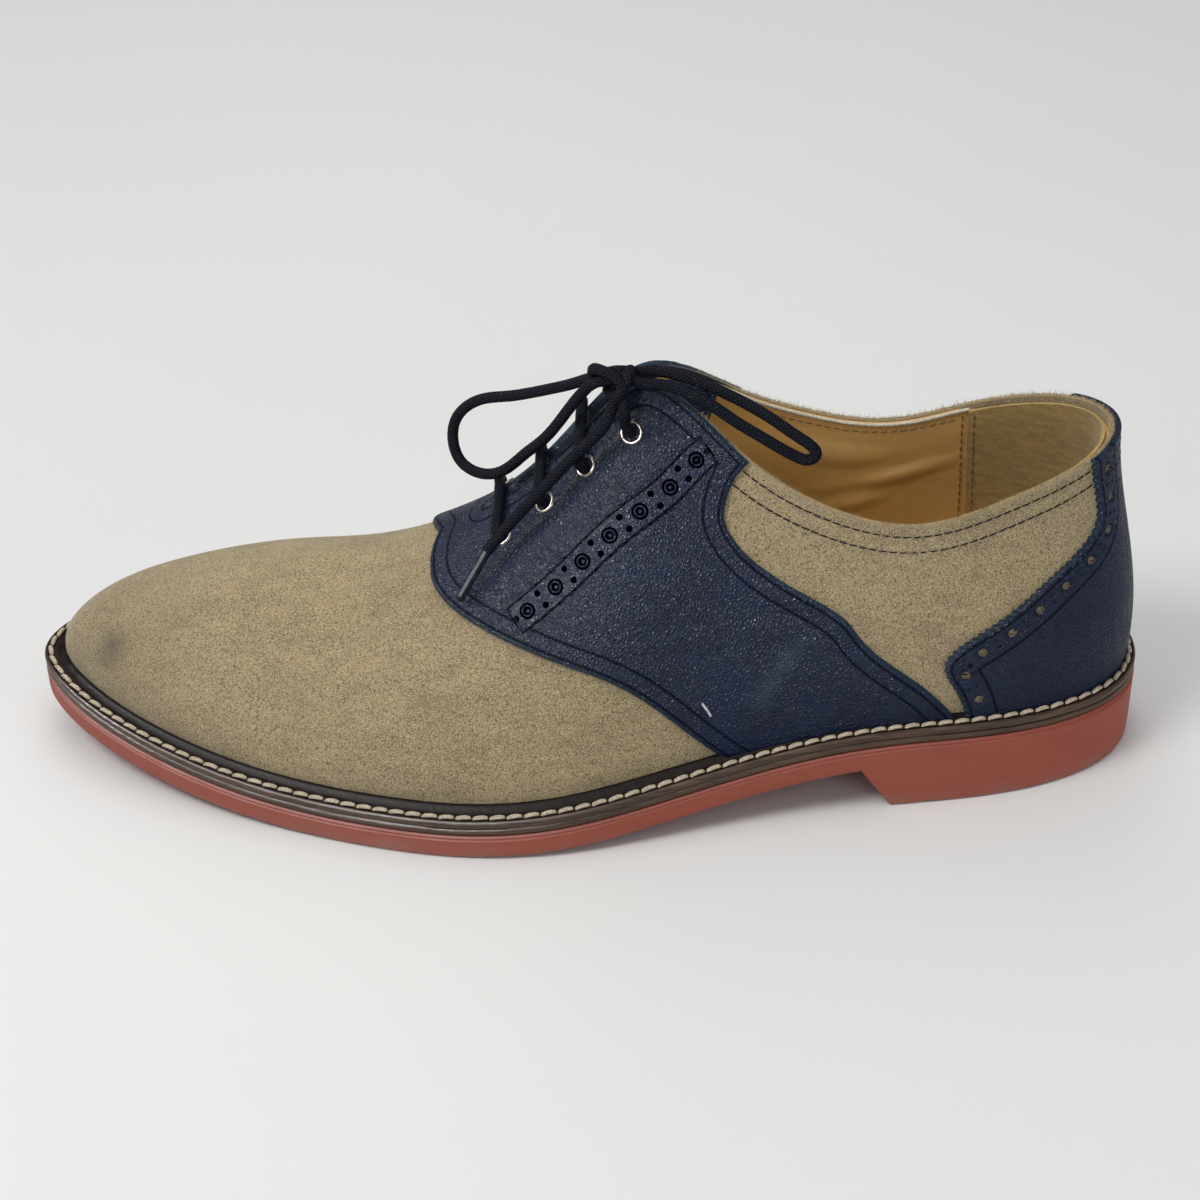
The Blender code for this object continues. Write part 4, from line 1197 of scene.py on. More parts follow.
def metal_material(name, colour, roughness):
    """Plated metal, a little tarnished."""
    finish = Finish(name, colour, roughness, metallic=1.0)
    tarnish = finish.noise(900.0, 4.0, 0.65)
    finish.colour(finish.mix(finish.span(tarnish, 0.45, 0.68), colour, shade(colour, 0.45)))
    finish.rough(finish.span(tarnish, 0.35, 0.7, roughness - 0.06, roughness + 0.18))
    return finish.bump((tarnish, 0.08, 0.0002))


def plastic_tip_material():
    finish = Finish("Lace tip", (0.008, 0.009, 0.014), 0.30, specular_ior_level=0.12)
    wrapped = finish.noise(520.0, 3.0, place=finish.stretched((1.0, 1.0, 0.4)))
    finish.colour(finish.mix(finish.span(wrapped, 0.4, 0.7), (0.006, 0.007, 0.011), (0.020, 0.022, 0.030)))
    return finish.bump((wrapped, 0.3, 0.0003))


def floor_material(colour):
    finish = Finish("Pale floor", colour, 0.85)
    soft = finish.noise(3.0, 3.0)
    finish.colour(finish.mix(finish.span(soft, 0.3, 0.7), colour, shade(colour, 0.97)))
    return finish.bump((finish.noise(60.0, 3.0), 0.02, 0.001))


# Settings that a user would change


def colour_setting(name, description, default):
    return bpy.props.FloatVectorProperty(
        name=name, description=description, default=default, size=3, subtype="COLOR"
    )


def length_setting(name, description, default):
    return bpy.props.FloatProperty(name=name, description=description, default=default, unit="LENGTH")


class ShoeColours(bpy.types.PropertyGroup):
    """Colours of the shoe's materials."""

    suede: colour_setting("Suede", "Suede of the vamp and quarters", (0.318, 0.250, 0.142))
    leather: colour_setting("Leather", "Saddle, counter and tongue", (0.0030, 0.0118, 0.0440))
    welt: colour_setting("Welt", "Polished strip round the upper", (0.009, 0.0034, 0.0022))
    rubber: colour_setting("Sole", "Rubber of the sole and heel", (0.32, 0.066, 0.036))
    lining: colour_setting("Lining", "Smooth leather inside", (0.66, 0.400, 0.125))
    lace: colour_setting("Lace", "Waxed cord", (0.0065, 0.0080, 0.0165))


class ShoeSizes(bpy.types.PropertyGroup):
    """Sizes of the shoe's finer parts."""

    stitch_pitch: length_setting("Stitch pitch", "From one stitch to the next on the leather", 0.0026)
    welt_pitch: length_setting("Welt stitch pitch", "From one welt stitch to the next", 0.0045)
    tooth_pitch: length_setting("Pinking pitch", "Width of one tooth of the counter's cut edge", 0.0021)
    tooth_depth: length_setting("Pinking depth", "Depth of one tooth of the counter's cut edge", 0.0009)
    hole_spacing: length_setting("Hole spacing", "Between the counter's punched holes", 0.0088)
    fuzz: bpy.props.IntProperty(
        name="Suede fibres", description="Loose fibres along the collar's raw edge", default=7000, min=0
    )


def settings():
    return bpy.context.scene.shoe_colours, bpy.context.scene.shoe_sizes


# Sole


def cross_rings(levels, turns):
    """Closed rings across the sole. Each level is an inset and a height function, from the bottom up."""
    rings = []
    for turn in turns:
        sides = []
        for place in (turn, 2 - turn):
            side = []
            for inset, height in levels:
                edge = outline(place, inset)[0]
                side.append((edge[0], edge[1], float(height(edge[0]))))
            sides.append(side)
        rings.append(sides)
    rings = np.array(rings)
    outer, inner = rings[:, 0], rings[:, 1]
    shares = np.linspace(0, 1, 15)[1:-1, None, None]
    bottom = (inner[None, :, 0] * (1 - shares) + outer[None, :, 0] * shares).transpose(1, 0, 2)
    top = (outer[None, :, -1] * (1 - shares) + inner[None, :, -1] * shares).transpose(1, 0, 2)
    closed = np.concatenate([outer, top, inner[:, ::-1], bottom, outer[:, :1]], axis=1)
    return closed.transpose(1, 0, 2)


class SHOE_OT_outsole(bpy.types.Operator):
    """Rubber sole with its heel block, rounded edges and a moulded line round the side"""

    bl_idname = "shoe.outsole"
    bl_label = "Rubber sole"

    def execute(self, context):
        colours, _ = settings()
        breast_foot = 1 - HEEL_LENGTH / LENGTH
        breast_top = breast_foot - BREAST_SLANT / LENGTH
        turns = crowded(SOLE_STATIONS)
        first, last = float(turn_at(breast_top)), float(turn_at(breast_foot))
        ahead = np.append(turns[turns < first - 0.004], first)
        behind = np.append(last, turns[turns > last + 0.004])

        def levels(bottom):
            def at(share_up, rise):
                return lambda along: (
                    bottom(along) + (underside(along) + SOLE_THICKNESS - bottom(along)) * share_up + rise
                )

            return (
                (0.0024, at(0.0, 0.0)),
                (0.0010, at(0.0, 0.00015)),
                (0.0004, at(0.0, 0.0005)),
                (0.0001, at(0.0, 0.0012)),
                (0.0, at(0.35, 0.0)),
                (0.0, at(0.65, 0.0)),
                (0.0, at(1.0, -0.0016)),
                (0.0003, at(1.0, -0.0012)),
                (0.0003, at(1.0, -0.0009)),
                (0.0, at(1.0, -0.0005)),
                (0.0005, at(1.0, 0.0)),
                (0.0030, at(1.0, 0.0)),
            )

        tread = cross_rings(levels(underside), ahead)
        heel = cross_rings(levels(lambda along: 0.0 * along), behind)
        made = grid_piece("rubber_sole", np.concatenate([tread, heel], axis=1))
        merge_points(made)
        finish_piece(made, [rubber_material(colours)], angle=32, replaces=("outsole",))
        return {"FINISHED"}


class SHOE_OT_midsole(bpy.types.Operator):
    """Leather layer between the rubber and the welt"""

    bl_idname = "shoe.midsole"
    bl_label = "Midsole"

    def execute(self, context):
        low = SOLE_THICKNESS + GAP
        heights = (
            (0.0016, 0.0),
            (0.0006, 0.0),
            (0.0002, 0.0004),
            (0.0001, 0.0010),
            (0.0002, 0.0016),
            (0.0006, 0.0020),
            (0.0020, 0.0020),
        )
        levels = [(inset, lambda along, up=up: underside(along) + low + up) for inset, up in heights]
        made = grid_piece("midsole_layer", cross_rings(levels, crowded(SOLE_STATIONS)))
        merge_points(made)
        edge = welt_edge_material("Midsole edge", (0.050, 0.022, 0.009), (0.095, 0.046, 0.020))
        finish_piece(made, [edge], angle=45, replaces=("midsole",))
        return {"FINISHED"}


def ring_turns(count):
    half = crowded(count // 2 + 1)
    return np.concatenate([half, 2 - half[-2:0:-1]])


class SHOE_OT_welt(bpy.types.Operator):
    """Welt with a stitched groove, and a rolled rand that climbs to the upper"""

    bl_idname = "shoe.welt"
    bl_label = "Welt"

    def execute(self, context):
        colours, sizes = settings()
        turns = ring_turns(RING_STEPS)
        turns = np.append(turns, turns[0] + 2.0)
        width = welt_width(turns)
        profile = (
            ("outer foot", 0.0, 0.0004, 0.0000),
            ("outer side low", 0.0, 0.0001, 0.0005),
            ("outer side", 0.0, 0.0001, 0.0014),
            ("outer corner", 0.0, 0.0003, 0.0019),
            ("outer top", 0.0, 0.0007, 0.0022),
            ("groove edge", 0.0, 0.0013, 0.0022),
            ("groove", 0.0, 0.0017, 0.0016),
            ("groove floor", 0.0, 0.0023, 0.0016),
            ("groove end", 0.0, 0.0027, 0.0021),
            ("inner flat", 0.52, 0.0, 0.0021),
            ("rand foot", 0.66, 0.0, 0.0024),
            ("rand", 0.80, 0.0, 0.0032),
            ("rand top", 0.90, 0.0, 0.0036),
            ("rand crown", 0.98, 0.0, 0.0036),
            ("rand back", 1.06, 0.0, 0.0030),
            ("inner foot", 1.02, 0.0, 0.0000),
        )
        rows = []
        across = []
        for _, share, inset, height in profile:
            place = width * share + inset
            edge = outline(turns, place)[0]
            rows.append(np.column_stack([edge, underside(edge[:, 0]) + FEATHER_HEIGHT + height]))
            across.append(place * 1000)
        rows.append(rows[0])
        across.append(across[0])
        made = grid_piece("welt_strip", np.array(rows), {"across": np.array(across)})
        edge_rows = 4
        for face in made.data.polygons:
            face.material_index = 1 if face.index // (len(turns) - 1) < edge_rows else 0
        merge_points(made)
        edge = welt_edge_material("Welt edge", (0.035, 0.015, 0.007), (0.110, 0.055, 0.024))
        finish_piece(made, [welt_top_material(colours), edge], angle=50, replaces=("welt",))
        self.stitch(sizes)
        return {"FINISHED"}

    def stitch(self, sizes):
        turns = np.linspace(0, 2, 2400)
        edge = outline(turns, 0.0020)[0]
        height = underside(edge[:, 0]) + FEATHER_HEIGHT + WELT_THICKNESS + 0.00015
        points = np.column_stack([edge, height])
        ahead = unit(np.gradient(points, axis=0))
        out = outline(turns, 0.0)[1]
        side = np.column_stack([out, np.zeros(len(out))])
        normals = unit(np.cross(ahead, side) * np.sign(np.cross(ahead, side)[:, 2:3]))
        model = stitch_model(sizes.welt_pitch * 1.0, 0.0014, 0.0011)
        made = joined_copies("welt_stitches", model, stitch_places(points, normals, sizes.welt_pitch))
        finish_piece(made, [thread_material("Welt thread", (0.66, 0.56, 0.42))])


class SHOE_OT_footbed(bpy.types.Operator):
    """Insole, dished a little and turned up where it meets the lining"""

    bl_idname = "shoe.footbed"
    bl_label = "Insole"

    def execute(self, context):
        colours, _ = settings()
        low = FEATHER_HEIGHT
        tops = ((0.0, 0.0), (0.0, 0.0034), (0.0008, 0.0036), (0.004, 0.0031), (0.010, 0.0029))
        levels = [
            (WELT_WIDTH + WALL + 0.0007 + inset, lambda along, up=up: underside(along) + low + up)
            for inset, up in tops
        ]
        made = grid_piece("footbed", cross_rings(levels, crowded(SOLE_STATIONS)[3:-3]))
        merge_points(made)
        tan = shade(colours.lining, 0.9)
        leather = smooth_leather_material("Insole leather", tan, 0.5)
        finish_piece(made, [leather], angle=60, replaces=("insole",))
        return {"FINISHED"}


# Upper


def seam_rows(table, side, offsets):
    """Lines inside an overlay's edge at the given distances, from the welt up."""
    heelwards = table is SADDLE_FRONT or table is COUNTER_FRONT
    sign = -1 if heelwards == (side == OUTER) else 1
    start = table_line(table, side, np.linspace(0.02, 1, 160)), np.linspace(0.02, 1, 160)
    return [beside(*start, sign * offset) for offset in offsets]


def top_distance(points):
    """Distance below the top edge in millimetres, far from it in front of the throat."""
    top_turns = np.linspace(THROAT_TURN, 2 - THROAT_TURN, 1600)
    return nearest_mm(points, upper_point(top_turns, np.ones_like(top_turns)))


class SHOE_OT_suede_body(bpy.types.Operator):
    """Suede vamp and quarters in one wall, creased where the foot bends it, with a raw fuzzy collar"""

    bl_idname = "shoe.suede_body"
    bl_label = "Suede body"

    def execute(self, context):
        colours, sizes = settings()
        turns, rises = np.meshgrid(upper_turns(HALF_COLUMNS), np.linspace(0, 1, RISE_ROWS))
        points = upper_point(turns, rises)
        points = points - upper_normal(turns, rises) * trough_depth(points, CREASES, OUTER)[..., None]
        half = np.where(turns <= 1, turns, 2 - turns)
        covered = table_line(SADDLE_BACK, OUTER, rises)
        facing = (half < covered - 0.012) & (half > THROAT_TURN - 0.01) & (rises > 0.80)
        values = {"below_top": top_distance(points), "facing": facing.astype(float)}
        made = grid_piece("suede_body", points, values)
        merge_points(made, outward=False)
        add_wall(made, SUEDE_THICKNESS)
        suede = suede_material(colours)
        raw = cut_edge_material("Suede cut edge", shade(colours.suede, 0.75), "facing")
        finish_piece(made, [suede, raw, suede], angle=50, replaces=("upper",))
        self.collar_seams(sizes)
        self.collar_fuzz(colours, sizes)
        return {"FINISHED"}

    def collar_seams(self, sizes):
        places = []
        for side in (OUTER, INNER):
            start = float(table_line(SADDLE_BACK, side, np.array([1.0]))[0])
            end = float(table_line(COUNTER_FRONT, side, np.array([1.0]))[0])
            turns = np.linspace(start, end, 120)
            for distance in COLLAR_SEAMS:
                line = beside(turns, np.ones_like(turns), side * distance)
                places.append(seam_on_upper(*line, 0.00002, sizes.stitch_pitch))
        model = stitch_model(sizes.stitch_pitch * 0.92, 0.00040, 0.00040)
        made = joined_copies("collar_stitches", model, np.concatenate(places))
        finish_piece(made, [thread_material("Navy thread", (0.012, 0.014, 0.024))])

    def collar_fuzz(self, colours, sizes):
        """Loose fibres that stand along the collar's raw edge, as thin bent blades in one mesh."""
        rng = np.random.default_rng(7)
        start = float(turn_at(FACING_TOP_FOOT)) + 0.03
        turns = rng.uniform(start, 2 - start, sizes.fuzz)
        tops = np.ones_like(turns)
        out = upper_normal(turns, tops)
        ahead = unit(upper_point(turns + 0.001, tops) - upper_point(turns - 0.001, tops))
        upward = np.cross(out, ahead)
        root = upper_point(turns, tops) - out * rng.uniform(-0.0001, SUEDE_THICKNESS, sizes.fuzz)[:, None]
        lean = ahead * rng.normal(0, 0.5, sizes.fuzz)[:, None]
        lean = lean + out * rng.normal(0.25, 0.45, sizes.fuzz)[:, None]
        way = unit(upward + lean)
        length = rng.gamma(2.2, 0.00030, sizes.fuzz).clip(0.0002, 0.0019)[:, None]
        wide = ahead * 0.000045
        middle = root + way * length * 0.55
        tip = middle + unit(way + out * rng.normal(0, 0.5, sizes.fuzz)[:, None]) * length * 0.45
        points = np.stack([root - wide, root + wide, middle + wide * 0.7, middle - wide * 0.7, tip], 1)
        faces = []
        for i in range(sizes.fuzz):
            base = 5 * i
            faces += [(base, base + 1, base + 2, base + 3), (base + 3, base + 2, base + 4)]
        made = new_mesh("collar_fuzz", points, faces)
        fibre = cut_edge_material("Suede fibres", shade(colours.suede, 1.15))
        finish_piece(made, [fibre])


class SHOE_OT_lining(bpy.types.Operator):
    """Smooth tan lining with soft folds, its cream piping, and the suede heel grip behind it"""

    bl_idname = "shoe.lining"
    bl_label = "Lining"

    def execute(self, context):
        colours, sizes = settings()
        turns, rises = np.meshgrid(upper_turns(HALF_COLUMNS), np.linspace(0.0, 1.0, RISE_ROWS))
        half = np.where(turns <= 1, turns, 2 - turns)
        short = 0.075 - 0.066 * smooth_share(half, float(turn_at(0.57)), float(turn_at(0.62)))
        short += 0.028 * smooth_share(half, float(turn_at(0.84)), float(turn_at(0.87)))
        rises = rises * (1 - short * smooth_share(half, THROAT_TURN, float(turn_at(0.43))))
        points = over_upper(turns, rises, -LINING_DEPTH)
        folds = trough_depth(upper_point(turns, rises), LINING_FOLDS, INNER) * np.where(turns > 1, 1.0, 0.0)
        points -= upper_normal(turns, rises) * np.maximum(folds, 0.0)[..., None]
        made = grid_piece("lining", points)
        merge_points(made, outward=False)
        add_wall(made, LINING_THICKNESS)
        tan = smooth_leather_material("Lining leather", tuple(colours.lining))
        edge = cut_edge_material("Lining edge", (0.26, 0.20, 0.11))
        finish_piece(made, [tan, edge, tan], angle=60)
        self.piping()
        self.heel_grip(sizes)
        return {"FINISHED"}

    def piping(self):
        """A thin cream cord along the lining's top edge, from the facings to the heel grip."""
        cream = thread_material("Piping", (0.74, 0.68, 0.55))
        for side, name in SIDES:
            turns = turn_on(np.linspace(0.60, 0.855, 90), side)
            level = 0.985 if side == INNER else 0.940
            line = over_upper(turns, level, -0.0023)
            made = cord_mesh(f"piping_{name}", smooth_path(line, 0.0012), 0.0010, around=10)
            finish_piece(made, [cream])

    def heel_grip(self, sizes):
        start = float(turn_at(GRIP_FOOT))
        turns, rises = np.meshgrid(np.linspace(start, 2 - start, 110), np.linspace(0.10, 0.980, 50))
        depth = LINING_DEPTH + LINING_THICKNESS + 0.00015
        made = grid_piece("heel_grip", over_upper(turns, rises, -depth))
        add_wall(made, GRIP_THICKNESS)
        suede = brushed_suede_material("Heel grip suede", (0.47, 0.315, 0.088))
        edge = cut_edge_material("Heel grip edge", (0.19, 0.14, 0.075))
        finish_piece(made, [suede, edge, suede], angle=60)
        places = []
        for side in (OUTER, INNER):
            for foot in (0.8485, 0.8615):
                turn = turn_on(foot, side)
                rises = np.linspace(0.12, 0.97, 60)
                thickness = GRIP_THICKNESS if foot > GRIP_FOOT else 0
                line = over_upper(turn, rises, -depth - thickness)
                places.append(stitch_places(line, -upper_normal(turn, rises), sizes.stitch_pitch))
            turns = turn_on(np.linspace(0.61, 0.84, 80), side)
            turns, rises = beside(turns, 0.985, side * 0.0022)
            line = over_upper(turns, rises, -(LINING_DEPTH + LINING_THICKNESS))
            places.append(stitch_places(line, -upper_normal(turns, rises), sizes.stitch_pitch))
        model = stitch_model(sizes.stitch_pitch * 0.8, 0.0005, 0.0004)
        made = joined_copies("lining_stitches", model, np.concatenate(places))
        finish_piece(made, [thread_material("Lining thread", (0.34, 0.19, 0.08))])


def overlay_height(from_edge, height=OVERLAY_HEIGHT):
    """Height of an overlay's face over the upper: full inside, and rounded down to its cut edge."""
    share = np.clip(from_edge / 1.1, 0, 1)
    return height * (0.50 + 0.50 * np.sqrt(1 - (1 - share) ** 2))


def sunk_rim(turns, rises):
    """Points just under the upper's face, where an overlay's border ends."""
    return over_upper(turns, rises, -RIM_DEPTH)


class SHOE_OT_saddle(bpy.types.Operator):
    """Navy saddle over the instep with its double seams"""

    bl_idname = "shoe.saddle"
    bl_label = "Saddle"

    columns = 116
    rows = 96

    def execute(self, context):
        colours, sizes = settings()
        made = join("saddle_leather", [self.half(side) for side in (OUTER, INNER)])
        merge_points(made, outward=False)
        add_wall(made, OVERLAY_WALL)
        seams = [("from_front", 1.5), ("from_front", 5.6), ("from_back", 1.5), ("from_back", 5.6)]
        leather = leather_material("Saddle leather", colours, seams)
        edge = cut_edge_material("Navy cut edge", (0.009, 0.022, 0.036))
        finish_piece(made, [leather, edge, leather], angle=50, replaces=("saddle",))
        self.seams(sizes)
        return {"FINISHED"}

    def half(self, side):
        rises = np.linspace(0.0, 1.0, self.rows)
        front = table_line(SADDLE_FRONT, side, rises)
        back = table_line(SADDLE_BACK, side, rises)
        share = np.linspace(0, 1, self.columns)
        share = share - 0.35 * np.sin(2 * np.pi * share) / (2 * np.pi)
        turns = front[:, None] * (1 - share) + back[:, None] * share
        rises = np.repeat(rises[:, None], self.columns, axis=1)
        face = upper_point(turns, rises)
        fine = np.linspace(0, 1, 700)
        to_front = nearest_mm(face, upper_point(table_line(SADDLE_FRONT, side, fine), fine))
        to_back = nearest_mm(face, upper_point(table_line(SADDLE_BACK, side, fine), fine))
        throat = np.linspace(THROAT_TURN, float(turn_at(0.634)), 500)
        throat = throat if side == OUTER else 2 - throat
        to_top = nearest_mm(face, upper_point(throat, np.ones_like(throat)))
        from_edge = np.minimum(np.minimum(to_front, to_back), to_top)
        lift = overlay_height(from_edge) - trough_depth(face, CREASES, OUTER)
        under_strip = upper_point(*brogue_line(side, 0.0005))[8:-8]
        lift -= 0.0010 * (1 - smooth_share(nearest_mm(face, under_strip), 3.1, 4.0))
        points = over_upper(turns, rises, lift)
        values = {"from_front": to_front, "from_back": np.minimum(to_back, to_top), "from_edge": from_edge}
        open_top = (np.where(turns[-1] <= 1, turns[-1], 2 - turns[-1]) > THROAT_TURN).any()
        rim = sunk_rim(turns, rises)
        points = np.concatenate([rim[:, :1], points, rim[:, -1:]], axis=1)
        if open_top:
            ends = np.concatenate([turns[-1:, :1], turns[-1:], turns[-1:, -1:]], axis=1)
            half = np.where(ends <= 1, ends, 2 - ends)
            rim = sunk_rim(ends, np.ones_like(ends))
            rim = np.where((half > THROAT_TURN)[..., None], rim, points[-1:])
            points = np.concatenate([points, rim])
        pad = ((0, int(open_top)), (1, 1))
        padded = {key: np.pad(value, pad, mode="edge") for key, value in values.items()}
        if side == INNER:
            points = points[:, ::-1]
            padded = {key: value[:, ::-1] for key, value in padded.items()}
        return grid_piece(f"saddle_{side}", points, padded)

    def seams(self, sizes):
        places = []
        lift = OVERLAY_HEIGHT - 0.00025
        for side in (OUTER, INNER):
            for table in (SADDLE_FRONT, SADDLE_BACK):
                for turns, rises in seam_rows(table, side, SADDLE_SEAMS):
                    places.append(seam_on_upper(turns, rises, lift, sizes.stitch_pitch))
            top = turn_at(np.linspace(FACING_TOP_FOOT, 0.628, 60))
            throat = turn_at(np.linspace(THROAT_FOOT + 0.012, FACING_TOP_FOOT, 60))
            for line, offsets in ((top, SADDLE_SEAMS), (throat, SADDLE_SEAMS[:1])):
                line = line if side == OUTER else 2 - line
                for offset in offsets:
                    turns, rises = beside(line, np.ones_like(line), side * offset)
                    places.append(seam_on_upper(turns, rises, lift, sizes.stitch_pitch))
        model = stitch_model(sizes.stitch_pitch * 0.88, 0.00056, 0.00042)
        made = joined_copies("saddle_stitches", model, np.concatenate(places))
        finish_piece(made, [thread_material("Saddle thread", (0.004, 0.005, 0.010))])
        self.thread_tail()

    def thread_tail(self):
        """The loose end of thread where the inner row of the front seam stops."""
        turns = turn_at(np.array([0.604, 0.607, 0.609, 0.611]))
        rises = np.array([0.200, 0.188, 0.180, 0.168])
        lifts = np.array([0.0014, 0.0021, 0.0020, 0.0022])
        line = over_upper(turns, rises, lifts)
        made = cord_mesh("thread_tail", smooth_path(line, 0.0003), 0.0007, around=10)
        finish_piece(made, [thread_material("Loose thread", (0.66, 0.66, 0.66))])


class SHOE_OT_brogue_strips(bpy.types.Operator):
    """Punched strip on each side of the saddle: ringed holes with pinholes between, in a stitched border"""

    bl_idname = "shoe.brogue_strips"
    bl_label = "Punched strips"

    half_width = 0.0042
    holes = 7

    def execute(self, context):
        colours, sizes = settings()
        material = strip_material(colours)
        lift = OVERLAY_HEIGHT - 0.0001
        places = []
        for side, name in SIDES:
            turns, rises = brogue_line(side, 0.00028)
            self.strip(side, name, turns, rises, material)
            for offset in (-self.half_width + 0.0003, self.half_width - 0.0003):
                places.append(seam_on_upper(*beside(turns, rises, offset), lift, sizes.stitch_pitch))
            for end in (4, -5):
                across = np.linspace(-self.half_width, self.half_width, 20)
                ends = [beside(turns, rises, offset) for offset in across]
                cross = np.array([(t[end], r[end]) for t, r in ends])
                places.append(seam_on_upper(cross[:, 0], cross[:, 1], lift, sizes.stitch_pitch))
        model = stitch_model(sizes.stitch_pitch * 0.95, 0.00060, 0.00042)
        made = joined_copies("strip_stitches", model, np.concatenate(places))
        finish_piece(made, [thread_material("Strip thread", (0.003, 0.004, 0.008))])
        return {"FINISHED"}

    def strip(self, side, name, turns, rises, material):
        across = np.linspace(-self.half_width, self.half_width, 35)
        grid = [beside(turns, rises, offset) for offset in across]
        grid_turns = np.array([t for t, _ in grid])
        grid_rises = np.array([r for _, r in grid])
        along = runs_of(upper_point(turns, rises)) * 1000
        aside = across * 1000
        u, v = np.meshgrid(along, aside)
        length = along[-1]
        spacing = length / self.holes
        middles = (np.arange(self.holes) + 0.5) * spacing
        hole = np.min([np.hypot(u - middle, v) for middle in middles], axis=0)
        pins = [(middle + spacing / 2, off) for middle in middles[:-1] for off in (-1.9, 1.9)]
        pins += [(middles[0] - spacing / 2 + 1.2, 0.0), (middles[-1] + spacing / 2 - 1.2, 0.0)]
        pinhole = np.min([np.hypot(u - a, v - b) for a, b in pins], axis=0)
        border = np.minimum(self.half_width * 1000 - np.abs(v), np.minimum(u, length - u))
        lift = np.full(u.shape, OVERLAY_HEIGHT * 1000 + 0.12)
        lift -= 0.28 * (1 - smooth_share(border, 0.0, 0.75))
        lift -= 0.60 * (1 - smooth_share(hole, 0.80, 1.10))
        lift += 0.18 * np.exp(-(((hole - 1.33) / 0.22) ** 2))
        lift -= 0.30 * np.exp(-(((hole - 1.85) / 0.24) ** 2))
        lift -= 0.60 * (1 - smooth_share(pinhole, 0.50, 0.88))
        points = over_upper(grid_turns, grid_rises, lift / 1000)
        points -= upper_normal(grid_turns, grid_rises) * trough_depth(points, CREASES, OUTER)[..., None]
        values = {"hole": hole, "pinhole": pinhole, "strip_edge": border}
        if side == INNER:
            points = points[:, ::-1]
            values = {key: value[:, ::-1] for key, value in values.items()}
        made = grid_piece(f"brogue_strip_{name}", points, values)
        faces_out = unit(np.cross(points[1, 0] - points[0, 0], points[0, 1] - points[0, 0]))
        if faces_out @ upper_normal(turns[0], rises[0]) > 0:
            made.data.flip_normals()
        add_wall(made, 0.0004)
        finish_piece(made, [material, material, material], angle=60)


